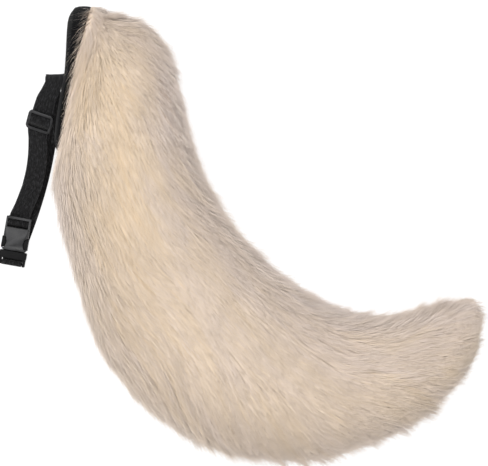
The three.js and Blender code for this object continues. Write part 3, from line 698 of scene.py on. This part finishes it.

    # Tone: by lock, by streak and by strand, and darker in the dent as painted shade
    tone = w.plus(named("warmth"), w.times(w.minus(lock_b, 0.5), TONE_BY_LOCK))
    streak = w.noise(w.joined(w.over(run, STREAK_LENGTH), w.over(round_it, STREAK_WIDTH)), 1, 1, "2D")
    by_strand = chance(-TONE_BY_STRAND, TONE_BY_STRAND, 53)
    tone = w.plus(tone, w.times(w.minus(streak, 0.5), TONE_BY_STREAK), by_strand)
    tone = w.spread(tone, 0.0, 1.0, *TONE_SHARES)
    shaded = w.times(named("dusk"), chance(0.45, 1.0, 73))
    tone = w.most(w.times(tone, w.minus(1.0, shaded)), DARKEST_TONE)

    marks = {
        "at_u": lay_u,
        "at_v": lay_v,
        "sway_v": w.over(sway, girth_here),
        "comb_v": w.over(aside, girth_here),
        "ahead": ahead,
        "tilt": chance(-0.14, 0.14, 61),
        "lift": lift,
        "splay": splay,
        "pull": pull,
        "wide": wide,
        "tone": tone,
        "per_u": named("stretch"),
    }
    for name, value in marks.items():
        roots = stored(roots, name, value)

    # A copy of the strand on each root, made real
    position = w.node("GeometryNodeInputPosition").outputs[0]
    source = w.fed("GeometryNodeObjectInfo", {0: given["Strand"]}, "Geometry")
    shape = stored(source, "shape", position, "FLOAT_VECTOR")
    copies = w.fed("GeometryNodeInstanceOnPoints", {"Points": roots, "Instance": shape})
    real = w.fed("GeometryNodeRealizeInstances", {0: copies})

    # Each point of a strand is carried along the lay and lifted off the hide
    along, side, proud = w.split(named("shape", "FLOAT_VECTOR"))
    carried = w.plus(w.times(along, named("ahead")), w.times(along, along, named("pull")))
    to_u = w.plus(named("at_u"), w.over(carried, named("per_u")))
    swayed = w.times(named("sway_v"), w.power(along, 1.5))
    to_v = w.plus(named("at_v"), swayed, w.times(named("comb_v"), along))
    held_u = w.least(w.most(to_u, MAP_END), 1 - MAP_END)
    held_v = w.least(w.most(to_v, MAP_END), 1 - MAP_END)
    spot = w.joined(held_u, held_v)
    beyond = w.times(w.minus(to_u, held_u), named("per_u"))
    ground = w.fed("GeometryNodeObjectInfo", {0: given["Hide"]}, "Geometry")

    def on_hide(value):
        inputs = {0: ground, 1: value, 2: named("Lay", "FLOAT_VECTOR"), 3: spot}
        return w.fed("GeometryNodeSampleUVSurface", inputs, data_type="FLOAT_VECTOR")

    base = on_hide(position)
    rise = on_hide(named("rise", "FLOAT_VECTOR"))
    flow = on_hide(named("flow", "FLOAT_VECTOR"))
    sideways = w.vector("NORMALIZE", w.vector("CROSS_PRODUCT", rise, flow))
    back = w.minus(1.0, along)
    curve = w.minus(1.0, w.times(back, back))
    height = w.plus(w.times(named("lift"), curve), w.times(proud, named("wide")))
    height = w.plus(height, w.times(named("splay"), w.power(along, 4.0)))
    place = w.vector("ADD", base, w.scaled(rise, height))
    place = w.vector("ADD", place, w.scaled(sideways, w.times(side, named("wide"))))
    x, y, z = w.split(w.vector("ADD", place, w.scaled(flow, beyond)))
    above_floor = w.joined(x, y, w.most(z, w.times(w.plus(proud, 0.6), OVER_FLOOR)))
    moved = w.fed("GeometryNodeSetPosition", {"Geometry": real, "Position": above_floor})
    facing = w.vector("NORMALIZE", w.vector("ADD", rise, w.scaled(sideways, named("tilt"))))
    soft = stored(moved, "soft", facing, "FLOAT_VECTOR")
    on_map = w.joined(w.plus(named("tone"), w.times(side, 0.04)), w.plus(0.02, w.times(along, 0.96)))
    mapped = stored(soft, "OFBake", on_map, "FLOAT2", "CORNER")
    finished = w.fed("GeometryNodeSetMaterial", {"Geometry": mapped, "Material": given["Finish"]})
    w.feed(result.inputs[0], finished)
    return tree, sockets


def baked(source, name):
    """What an object with modifiers shows, as a plain mesh in an object of its own."""
    graph = bpy.context.evaluated_depsgraph_get()
    mesh = bpy.data.meshes.new_from_object(source.evaluated_get(graph), depsgraph=graph)
    mesh.name = name
    made = bpy.data.objects.new(name, mesh)
    bpy.context.scene.collection.objects.link(made)
    return made


def per_point(patch, name, values):
    stored = patch.data.attributes.new(name, "FLOAT", "POINT")
    stored.data.foreach_set("value", np.asarray(values, np.float32).ravel())


# What the strands carry while they are made, and lose when they are done
WORKING_MARKS = (
    "at_u at_v sway_v comb_v ahead tilt lift splay pull wide tone per_u shape soft girth stretch depth "
    "comb warmth crowd short rim edge shift ruff behind dusk Lay"
).split()


def comb_angle(share, turn):
    """How far the fur lies turned from the way to the tip, towards the outer edge: it fans out at the root,
    crosses to the inner edge at the neck and to the outer edge below."""
    fan = FAN * (1 - smooth_step(share / 0.1)) * (0.5 + 0.5 * smooth_step((turn - 0.3) / 0.2))
    at_neck = smooth_step((share - 0.04) / 0.08) * (1 - smooth_step((share - 0.3) / 0.15))
    inner = smooth_step((turn - 0.22) / 0.16) * (1 - smooth_step((turn - 0.72) / 0.16))
    at_sweep = smooth_step((share - 0.36) / 0.16) * (1 - smooth_step((share - 0.9) / 0.1))
    outer = smooth_step((turn - 0.2) / 0.16) * (1 - smooth_step((turn - 0.78) / 0.14))
    outward = SWEEP_CROSSING + SWEEP_OUTER * smooth_step((turn - 0.4) / 0.22)
    crossing = outward * at_sweep * outer - NECK_CROSSING * at_neck * inner
    inner_edge = smooth_step((share - 0.5) / 0.2) * (1 - smooth_step((turn - 0.2) / 0.14))
    crossing = crossing - EDGE_CROSSING * inner_edge
    return fan * smooth_step((0.8 - turn) / 0.25) + crossing


def ruff_angle(share, turn):
    """How much further the hair next to the panel's rim falls back over the panel."""
    falling = (1 - smooth_step(share / 0.035)) * smooth_step((0.8 - turn) / 0.25)
    most = math.radians(75) + math.radians(22) * (1 - smooth_step((turn - 0.3) / 0.15))
    return most * falling * smooth_step((turn - 0.25) / 0.07)


def comb_shift(share, turn, steps, girths):
    """How far round the combed fur has come on its way from the root, as a share of the girth."""
    comb = np.clip(comb_angle(share, turn), -1.0, 1.0)
    columns = np.arange(HIDE_ROUND + 1) / HIDE_ROUND
    shift = np.zeros_like(turn)
    for i in range(1, HIDE_STEPS + 1):
        across = np.tan(comb[i - 1]) * steps[i - 1].mean() / girths[i - 1]
        before = np.append(shift[i - 1], shift[i - 1, 0])
        shift[i] = np.interp((turn[i] - across) % 1, columns, before) - across
    return shift


def painted_dent_shade_at(share, turn):
    """Painted shade: how far the strands in the dent at the inner side of the neck are darkened brownish."""
    dent = np.exp(-(((share - 0.175) / 0.05) ** 2) - ((turn - 0.355) / 0.03) ** 2)
    below = np.exp(-(((share - 0.215) / 0.04) ** 2) - ((turn - 0.375) / 0.018) ** 2)
    return np.clip(0.9 * dent + 0.7 * below, 0, 0.95)


def edge_share(share, turn):
    """1 at the two sides that make the outline from above, less on top and underneath, and less at the outer
    side of the upper tail, where the fur lies flat."""
    outer = smooth_step((turn - 0.55) / 0.1) * (1 - smooth_step((share - 0.42) / 0.16))
    return np.abs(np.sin(2 * math.pi * turn)) ** 1.5 * (1 - 0.5 * outer)


def cut_short(share, turn):
    """The pile is shorter behind the panel's rim and along the two sides."""
    sides = edge_share(share, turn) * smooth_step(share / 0.05)
    return (1 - rim_share(share, turn)) * (1 - 0.35 * sides)


def rim_share(share, turn):
    """How much of the pile's length is cut away next to the rim, most of all at the panel's upper end."""
    upper_end = 1 - smooth_step((turn - 0.3) / 0.2)
    return (1 - smooth_step(share / 0.05)) * (0.38 + 0.3 * upper_end)


def warm_share(share, turn):
    """Peach towards the middle of the upper tail, pinker at its edges and towards the tip."""
    middle = 1 - np.abs(turn - 0.43 - 0.1 * smooth_step(share / 0.25)) / 0.18
    towards_root = 1 - smooth_step((share - 0.12) / 0.4)
    peach = 0.52 * np.clip(middle, -0.4, 1) * (0.5 + 0.5 * towards_root)
    return 0.34 + peach * smooth_step(share / 0.05 + 0.2)


def grow_pile(hide, rings, finish):
    """The pile in its parts, each with the same number of strands."""
    steps = np.linalg.norm(np.diff(rings, axis=0), axis=2)
    girths = np.linalg.norm(rings - np.roll(rings, -1, axis=1), axis=2).sum(axis=1)
    stretch = np.vstack([steps, steps[-1:]]) * HIDE_STEPS
    spine = float(steps.mean(axis=1).sum())
    girth = float(girths.mean())
    share, turn = hide_grid()
    depth = hide_depth(share, 2 * math.pi * turn - math.pi / 2) / 1000
    areas = steps.mean(axis=1) * (girths[:-1] + girths[1:]) / 2
    reached = np.concatenate([[0], np.cumsum(areas)]) / areas.sum()
    parts = len(PILE_PARTS)
    cuts = [int(round(np.interp(k / parts, reached, np.arange(HIDE_STEPS + 1)))) for k in range(parts + 1)]
    measures = {
        "girth": np.repeat(girths[:, None], HIDE_ROUND, axis=1),
        "stretch": stretch,
        "depth": depth,
        "comb": comb_angle(share, turn),
        "warmth": warm_share(share, turn),
        "crowd": crowding(share, turn),
        "short": cut_short(share, turn),
        "rim": rim_share(share, turn),
        "edge": edge_share(share, turn),
        "shift": comb_shift(share, turn, steps, girths),
        "ruff": ruff_angle(share, turn),
        "behind": smooth_step((turn - 0.3) / 0.2),
        "dusk": painted_dent_shade_at(share, turn),
    }
    strand = one_strand()
    tree, sockets = pile_tree(spine, girth)
    made = []
    for k, part in enumerate(PILE_PARTS):
        first, last = cuts[k], cuts[k + 1]
        patch = hide_patch("patch_" + part, rings, first, last)
        for name, values in measures.items():
            per_point(patch, name, values[first : last + 1])
        modifier = patch.modifiers.new("pile", "NODES")
        modifier.node_group = tree
        modifier[sockets["Hide"]] = hide
        modifier[sockets["Strand"]] = strand
        modifier[sockets["Finish"]] = finish
        crowd = measures["crowd"][first:last].mean(axis=1)
        modifier[sockets["Density"]] = STRANDS_PER_PART / float((areas[first:last] * crowd).sum())
        modifier[sockets["Seed"]] = 7 + 13 * k
        piece = baked(patch, "fur_pile_" + part)
        patch.modifiers.clear()
        piece.data.shade_smooth()
        soft = np.zeros(len(piece.data.vertices) * 3, np.float32)
        piece.data.attributes["soft"].data.foreach_get("vector", soft)
        for name in WORKING_MARKS:
            if name in piece.data.attributes:
                piece.data.attributes.remove(piece.data.attributes[name])
        piece.data.normals_split_custom_set_from_vertices(soft.reshape(-1, 3))
        bpy.data.objects.remove(patch)
        made.append(piece)
        print("pile", part, len(piece.data.polygons), flush=True)
    bpy.data.objects.remove(strand)
    return made


pile_finish = pile_material()
hide, hide_rings = hide_surface()
hide.data.materials.append(hide_material())
pile = grow_pile(hide, hide_rings, pile_finish)


# The root panel: a padded oval of black cloth
def panel_cloth_material():
    made, wires, shader = material("black_panel_cloth", shade(14, 14, 15), 0.95, sheen=0.05, specular=0.1)
    mottled(wires, shader, 45, 5, [(0.3, shade(2, 2, 3)), (0.75, shade(12, 12, 13))])
    grained(wires, shader, 700, 0.8, 0.0012)
    return made


def panel_surface():
    def ring(radial, out):
        points = []
        for j in range(PANEL_ROUND):
            angle = 2 * math.pi * j / PANEL_ROUND
            along = radial * math.cos(angle) * PANEL_LENGTH / 2
            across = radial * math.sin(angle) * PANEL_WIDTH / 2
            thick = PANEL_THICKNESS + panel_swell(along)
            points.append(to_row(on_panel(along, out * thick - PANEL_THICKNESS, across)))
        return points

    def rounding(radial):
        share = max(0, (radial - PANEL_FLAT) / (1 - PANEL_FLAT))
        return (1 - share**2.4) ** (1 / 2.4)

    belt_side = [0.998, 0.99, 0.975, 0.95, 0.93, 0.91, 0.87, 0.81, 0.75, 0.68, 0.6, 0.5, 0.4, 0.3, 0.2, 0.1]
    rings = [ring(0.4, 0), ring(0.8, 0), ring(0.98, 0.005), ring(1, 0.03)]
    bead = {0.975: 0.03, 0.95: 0.05, 0.93: 0.03}
    rings += [ring(radial, max(rounding(radial), 0.08) + bead.get(radial, 0)) for radial in belt_side]
    points, faces = lofted(rings)
    return mesh_piece("root_panel_cover", points, faces)


panel = panel_surface()
panel.data.materials.append(panel_cloth_material())


# Webbing: the belt's route, station by station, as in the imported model
def hardware_frame(at, turn, pitch):
    x = Vector((math.cos(turn), -math.sin(turn), 0))
    y = Vector((math.sin(turn) * math.cos(pitch), math.cos(turn) * math.cos(pitch), math.sin(pitch)))
    z = x.cross(y)
    made = Matrix((x, y, z)).transposed().to_4x4()
    made.translation = at
    return made


belt_out = WEBBING_WIDTH / 2 * math.cos(BELT_TURN) + WEBBING_THICKNESS + SLACK
carrier_stand = 2 * belt_out + WEBBING_THICKNESS
layers_under = 2 * (WEBBING_THICKNESS + GAP)
buckle_frame = hardware_frame(Vector((-BUCKLE_OUT, -BUCKLE_DOWN, layers_under)), BUCKLE_TURN, 0)
wrap = BUCKLE_BAR / 2 + 1.5 * GAP + WEBBING_THICKNESS / 2
buckle_end = BUCKLE_LENGTH / 2
female_top = buckle_end - BUCKLE_BAR - 2 * (WEBBING_THICKNESS + SLACK) - BUCKLE_BAR / 2
bar_height = wrap + WEBBING_THICKNESS / 2
male_bar = -buckle_end + BUCKLE_BAR / 2 + WEBBING_THICKNESS + GAP
layer_step = WEBBING_THICKNESS + GAP
fold_middle = Vector((-FOLD_OUT, FOLD_UP - FOLD_RADIUS, FOLD_HEIGHT - FOLD_RADIUS))
strand_end = buckle_frame @ Vector((0, buckle_end, bar_height))
strand_start = Vector((fold_middle.x, fold_middle.y, FOLD_HEIGHT))
strand_way = strand_end - strand_start
strand_pitch = math.atan2(-strand_way.z, math.hypot(strand_way.x, strand_way.y))
slider_at = strand_start + strand_way * SLIDER_SHARE
slider_at.x -= SLIDER_SWAY
slider_frame = hardware_frame(slider_at, SLIDER_TURN, strand_pitch)
slider_wrap = SLIDER_BAR / 2 + 1.5 * GAP + WEBBING_THICKNESS / 2
slider_inner = SLIDER_LENGTH / 2 - SLIDER_RAIL
under_rail = -(SLIDER_THICKNESS / 2 + GAP + WEBBING_THICKNESS / 2)


def placed(hardware, points, aside=0):
    """Stations in a piece of hardware's own frame: y up the strand and z out of its face. The webbing is
    spread there, as far as the hardware lets it."""
    across = hardware.to_3x3() @ Vector((SPREAD, 0, 0))
    return [(hardware @ Vector((aside, y, z)), across) for y, z in points]


def bend(y, z, radius, start, end, steps=8):
    angles = [math.radians(start + (end - start) * i / steps) for i in range(steps + 1)]
    return [(y + radius * math.cos(a), z + radius * math.sin(a)) for a in angles]


def between(start, end, steps, sway):
    """Stations from one to the next, which sway a little to the side on the way."""
    stations = []
    for i in range(1, steps):
        share = i / steps
        at = start[0].lerp(end[0], share)
        at.x += sway * math.sin(math.pi * share)
        stations.append((at, start[1].lerp(end[1], share).normalized()))
    return stations


def belt_route():
    sewn_level = under_rail - layer_step - 0.15
    sewn = placed(
        slider_frame,
        [
            (-slider_inner, sewn_level - layer_step),
            (-slider_wrap, sewn_level - 0.1),
            *bend(0, 0, slider_wrap, -90, 130),
            (-0.74 * slider_inner, sewn_level + 0.5),
            (-slider_inner - SLIDER_RAIL / 2, sewn_level),
            (-SLIDER_LENGTH / 2 - 2, sewn_level),
        ],
    )
    layer_under = bar_height - wrap + 0.1
    looped = placed(
        buckle_frame,
        [
            (buckle_end + 3, layer_under),
            (female_top + wrap + 2, layer_under - 0.1),
            *bend(female_top, bar_height, wrap, 270, 60),
            (buckle_end - BUCKLE_BAR - SLACK, layer_under + layer_step + 0.4),
            (buckle_end + 3, layer_under + layer_step + 0.4),
        ],
    )
    over = slider_wrap + layer_step
    threaded = placed(
        slider_frame,
        [
            (-SLIDER_LENGTH / 2 - 2, under_rail),
            (-slider_inner + SLACK, under_rail),
            *bend(0, 0, over, 140, 40),
            (slider_inner - SLACK, under_rail),
            (SLIDER_LENGTH / 2 + 2, under_rail),
        ],
    )
    level = Vector((1, 0, 0))
    leaning = Vector((math.cos(FOLD_LEAN), 0, math.sin(FOLD_LEAN)))
    turned = panel_in_level * math.cos(BELT_TURN) - panel_along * math.sin(BELT_TURN)
    fold = []
    for i in range(9):
        angle = (math.pi / 2 + strand_pitch) * (1 - i / 8)
        way = Vector((0, math.cos(angle), math.sin(angle))) * FOLD_RADIUS
        drawn_in = FOLD_NARROWED * math.cos(angle) ** 4
        fold.append((fold_middle + way, leaning * (1 - drawn_in)))
    crossing = [
        (on_panel(BELT_ALONG, belt_out + GAP, CARRIER_DROP - share * CARRIER_WIDTH), turned)
        for share in (-CROSSING_REACH, 0, CROSSING_REACH)
    ]
    floor_top = Vector((-LANDING_OUT, BELT_ALONG - FLOOR_BEND, FLOOR_BEND + WEBBING_THICKNESS / 2))
    landing = []
    for i in range(9):
        angle = -math.pi / 2 * i / 8
        way = Vector((0, math.cos(angle), math.sin(angle))) * FLOOR_BEND
        landing.append((floor_top + way, level))
    floor = WEBBING_THICKNESS / 2 - layers_under
    past_bar = male_bar + wrap
    on_top = floor + layer_step
    turned_back = [
        (past_bar + 1.5, floor + 0.1),
        *bend(male_bar, bar_height, wrap, 285, 30),
        (past_bar + 0.3, bar_height - 1.6),
        (past_bar + 1.6, on_top + 0.3),
        (past_bar + 4, on_top),
    ]
    ended = []
    for aside, points in (
        (-0.6, [(past_bar + 5, floor)]),
        (-0.3, turned_back),
        (-1.5, [(past_bar + HEM, on_top)]),
        (-2.2, [(past_bar + HEM + BELT_OVERRUN, on_top)]),
    ):
        ended += placed(buckle_frame, points, aside)
    lower = between(sewn[-1], looped[0], 9, 8)
    underneath = slider_frame.to_3x3() @ Vector((0, 0, -layer_step))
    hem_start = sewn[-1][0] + underneath
    hem_way = (lower[0][0] - sewn[-1][0]).normalized() * HEM
    hem = [(hem_start + hem_way, lower[0][1]), (hem_start, sewn[-1][1])]
    return [
        *hem,
        *sewn,
        *lower,
        *looped,
        *between(looped[-1], threaded[0], 9, 8),
        *threaded,
        *between(threaded[-1], fold[0], 4, -1),
        *fold,
        *between(fold[-1], crossing[0], 8, -2),
        *crossing,
        *between(crossing[-1], landing[0], 12, 0),
        *landing,
        *between(landing[-1], ended[0], 18, 9),
        *ended,
    ]


SEWN_SHARE = CARRIER_FOOT / CARRIER_LENGTH
CARRIER_STATIONS = [
    (0, 0),
    (SEWN_SHARE, 0.04),
    (0.105, 0.2),
    (0.125, 0.6),
    (0.15, 0.94),
    (0.18, 1),
    (0.317, 1),
    (0.416, 0.88),
    (0.526, 0.7),
    (0.647, 0.52),
    (0.758, 0.36),
    (0.835, 0.2),
    (0.89, 0.04),
    (1 - SEWN_SHARE, 0),
    (1, 0),
]


def carrier_route():
    seat = GAP + WEBBING_THICKNESS / 2
    stations = []
    for along, stand in CARRIER_STATIONS:
        place = CARRIER_TOP - along * CARRIER_LENGTH
        out = seat + panel_swell(place) + stand * carrier_stand
        stations.append((on_panel(place, out, CARRIER_DROP), panel_across))
    return stations


def eased(stations, parts):
    """Extra stations between the given ones, where those are far apart, on a smooth curve through them."""
    ats = [at for at, _ in stations]
    sides = [side for _, side in stations]
    made = []
    for i in range(len(stations) - 1):
        before = ats[i - 1] if i else 2 * ats[0] - ats[1]
        after = ats[i + 2] if i + 2 < len(ats) else 2 * ats[-1] - ats[-2]
        here, there = ats[i], ats[i + 1]
        gap = (there - here).length
        count = max(1, min(parts, int(round(gap / 1.6))))
        into = (there - before).normalized() * gap
        out = (after - here).normalized() * gap
        for k in range(count):
            t = k / count
            a = 2 * t**3 - 3 * t**2 + 1
            b = t**3 - 2 * t**2 + t
            c = -2 * t**3 + 3 * t**2
            d = t**3 - t**2
            at = here * a + into * b + there * c + out * d
            made.append((at, sides[i].lerp(sides[i + 1], t)))
    made.append((ats[-1], sides[-1]))
    return made


# Half the outline of a webbing's cross-section: across it and through it, as shares of its half sizes
RISING = [(-0.985, 0.62), (-0.93, 0.92), (-0.8, 1), (-0.4, 0.94)]
EDGE = [(-1, 0), *RISING, (0, 0.96), *[(-x, y) for x, y in reversed(RISING)]]


def webbing_piece(name, stations, width, thickness):
    outline = EDGE + [(-x, -y) for x, y in EDGE]
    rings = []
    lengths = [0.0]
    for i, (at, across) in enumerate(stations):
        before = stations[max(i - 1, 0)][0]
        after = stations[min(i + 1, len(stations) - 1)][0]
        way = (after - before).normalized()
        face = across.cross(way).normalized()
        spots = [at + across * (x * width / 2) + face * (y * thickness / 2) for x, y in outline]
        rings.append([to_row(spot) for spot in spots])
        if i:
            lengths.append(lengths[-1] + (at - stations[i - 1][0]).length)
    points, faces = lofted(rings)
    made = mesh_piece(name, points, faces)
    count = len(outline)
    lay = made.data.uv_layers.new(name="Weave")
    for polygon in made.data.polygons:
        corners = [made.data.loops[k].vertex_index for k in polygon.loop_indices]
        for k, v in zip(polygon.loop_indices, corners):
            ring = min(v // count, len(stations) - 1)
            across = outline[v % count][0] * width / 2 / 1000 if v < len(stations) * count else 0
            lay.data[k].uv = (across, lengths[ring] / 1000)
    return made, lengths[-1]


def webbing_material():
    made, wires, shader = material("black_webbing", shade(18, 18, 20), 0.8, sheen=0.06, specular=0.18)
    across, along, _ = wires.split(wires.node("ShaderNodeUVMap", uv_map="Weave").outputs[0])
    ribs = wires.math("SINE", wires.times(along, 2 * math.pi / RIB_PITCH))
    warp = wires.math("SINE", wires.times(across, 2 * math.pi / WARP_PITCH))
    weave = wires.plus(wires.times(ribs, warp, 0.6), wires.times(warp, 0.15))
    drawn = wires.noise(wires.joined(wires.times(across, 520), wires.times(along, 190)), 1, 2, "2D")
    relief = wires.plus(weave, wires.times(wires.minus(drawn, 0.5), 6.0))
    height = grained(wires, shader, 700, 0.8, 0.0005, relief, 0.7)
    # Painted highlight: the webbing's colour is lighter along its two edges, where they catch the light
    painted_edge_highlight = wires.spread(wires.math("ABSOLUTE", across), 0.0102, 0.0125, 0.0, 0.35)
    tone = wires.plus(wires.spread(height, -1.4, 2.4, 0.0, 1.0), painted_edge_highlight)
    tones = [(0.0, shade(4, 4, 5)), (0.5, shade(17, 17, 18)), (1.0, shade(46, 46, 48))]
    wires.feed(shader.inputs["Base Color"], wires.ramp(tone, tones))
    return made


webbing_finish = webbing_material()


def creased(stations):
    """The strand has a dent across it, as a fold leaves, and the belt's fold sits against the panel."""
    made = []
    for at, side in stations:
        dent = DENT_DEPTH * math.exp(-(((at.y - DENT_AT) / DENT_REACH) ** 2)) if at.z > 8 else 0
        at_fold = smooth_step((at.z - 70) / 12) * smooth_step((at.y + 34) / 20)
        made.append((at + Vector((FOLD_PRESS * float(at_fold), 0, -dent)), side))
    return made


belt_stations = creased(eased(belt_route(), 6))
belt, belt_length = webbing_piece("waist_belt", belt_stations, WEBBING_WIDTH, WEBBING_THICKNESS)
carrier_stations = eased(carrier_route(), 6)
carrier, carrier_run = webbing_piece("belt_keeper", carrier_stations, CARRIER_WIDTH, WEBBING_THICKNESS)
for strap in (belt, carrier):
    strap.data.materials.append(webbing_finish)


# Moulded plastic of the adjuster and the buckle, with its edges rounded
def plastic_material(name, roughness, specular, tones):
    made, wires, shader = material(name, tones[1], roughness, specular=specular)
    rubbed = mottled(wires, shader, 90, 3, [(0.3, tones[0]), (0.7, tones[1])])
    dull = wires.spread(rubbed, 0.3, 0.7, roughness - 0.1, roughness + 0.1)
    wires.feed(shader.inputs["Roughness"], dull)
    grained(wires, shader, 1600, 0.3, 0.0003)
    return made


def rounded(node, name, width, finish, corner=0, hardware=None, fuller=0):
    """A moulded piece with its sharp edges taken off. It is fuller than its solid if a measure is given, and
    its upper outer corners are rounded if a radius is given."""
    solid = bmesh.new()
    solid.from_mesh(node.data)
    solid.transform(node.matrix_world)
    bmesh.ops.remove_doubles(solid, verts=solid.verts, dist=0.00002)
    bmesh.ops.dissolve_limit(solid, angle_limit=math.radians(1), verts=solid.verts, edges=solid.edges)
    if corner:
        back = hardware.inverted()
        spots = {v: back @ (v.co * 1000 - ROW_SHIFT) for v in solid.verts}
        far_x = max(abs(spot.x) for spot in spots.values())
        far_y = max(spot.y for spot in spots.values())
        weight = solid.edges.layers.float.new("bevel_weight_edge")
        for edge in solid.edges:
            a, b = (spots[v] for v in edge.verts)
            upright = abs(a.x - b.x) < 0.05 and abs(a.y - b.y) < 0.05
            at_corner = min(abs(a.x), abs(b.x)) > far_x - 2.5 and min(a.y, b.y) > far_y - 0.6
            edge[weight] = 1.0 if upright and at_corner else 0.0
    mesh = bpy.data.meshes.new(name + "_source")
    solid.to_mesh(mesh)
    solid.free()
    mesh.shade_smooth()
    source = bpy.data.objects.new(name + "_source", mesh)
    bpy.context.scene.collection.objects.link(source)
    if fuller:
        swelled = source.modifiers.new("fuller", "DISPLACE")
        swelled.strength = fuller / 1000
        swelled.mid_level = 0
    if corner:
        corners = source.modifiers.new("corners", "BEVEL")
        corners.limit_method = "WEIGHT"
        corners.width = corner / 1000
        corners.segments = 4
    edges = source.modifiers.new("edges", "BEVEL")
    edges.width = width / 1000
    edges.segments = 2
    edges.limit_method = "ANGLE"
    edges.angle_limit = math.radians(30)
    edges.harden_normals = True
    piece = baked(source, name)
    source.modifiers.clear()
    bpy.data.objects.remove(source)
    piece.data.materials.clear()
    piece.data.materials.append(finish)
    return piece


satin = plastic_material("black_satin_plastic", 0.42, 0.35, (shade(14, 14, 15), shade(42, 42, 44)))
# The prong's plastic is rougher and less shiny than the socket's, and darker as painted shade, since the low,
# flat prong reflects less light than the domed socket
matt_and_shaded = plastic_material("black_matt_plastic_painted_shade", 0.6, 0.12, (shade(4, 4, 5), shade(16, 16, 17)))
socket_corners = (CORNER_RADIUS, buckle_frame)
moulded = [
    (rounded(solids["belt_slider"], "strap_adjuster", 0.9, satin, fuller=RAIL_FULLER), "belt_slider"),
    (rounded(solids["buckle_female"], "buckle_socket", 0.5, satin, *socket_corners), "buckle_female"),
    (rounded(solids["buckle_male"], "buckle_prong", 0.4, matt_and_shaded), "buckle_male"),
]

# Riding and replacing
for piece in [hide, *pile, panel, belt, carrier, *[piece for piece, _ in moulded]]:
    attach(piece, "root")
for piece, node in moulded:
    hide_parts(node)
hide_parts("tail_fur")
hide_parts("root_panel")
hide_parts("belt_webbing")
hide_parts("belt_carrier")


# Floor and soft studio light
def floor_material():
    made, _, shader = material("lit_white_table", (FLOOR_GREY, FLOOR_GREY, FLOOR_GREY), 0.9, specular=0.0)
    shader.inputs["Emission Color"].default_value = (1, 1, 1, 1)
    shader.inputs["Emission Strength"].default_value = FLOOR_GLOW
    return made


corners = [(FLOOR_HALF * x, FLOOR_HALF * y, FLOOR_LEVEL) for x, y in ((-1, -1), (1, -1), (1, 1), (-1, 1))]
floor = mesh_piece("studio_floor", corners, [(0, 1, 2, 3)], smooth=False)
floor.data.materials.append(floor_material())


def area_light(name, place, aim, size, power):
    data = bpy.data.lights.new(name, "AREA")
    data.shape = "SQUARE"
    data.size = size
    data.energy = power
    light = bpy.data.objects.new(name, data)
    light.location = place
    light.rotation_euler = (Vector(aim) - Vector(place)).to_track_quat("-Z", "Y").to_euler()
    bpy.context.scene.collection.objects.link(light)


area_light("key_softbox", (-0.7, 0.45, 2.2), (0, 0, 0.05), 1.5, 29)
area_light("fill_softbox", (0.9, -0.4, 2.1), (0.1, 0, 0.05), 1.6, 6)
world = bpy.data.worlds.new("studio_world")
world.use_nodes = True
world.node_tree.nodes["Background"].inputs[0].default_value = (1, 1, 1, 1)
world.node_tree.nodes["Background"].inputs[1].default_value = 1.0
bpy.context.scene.world = world
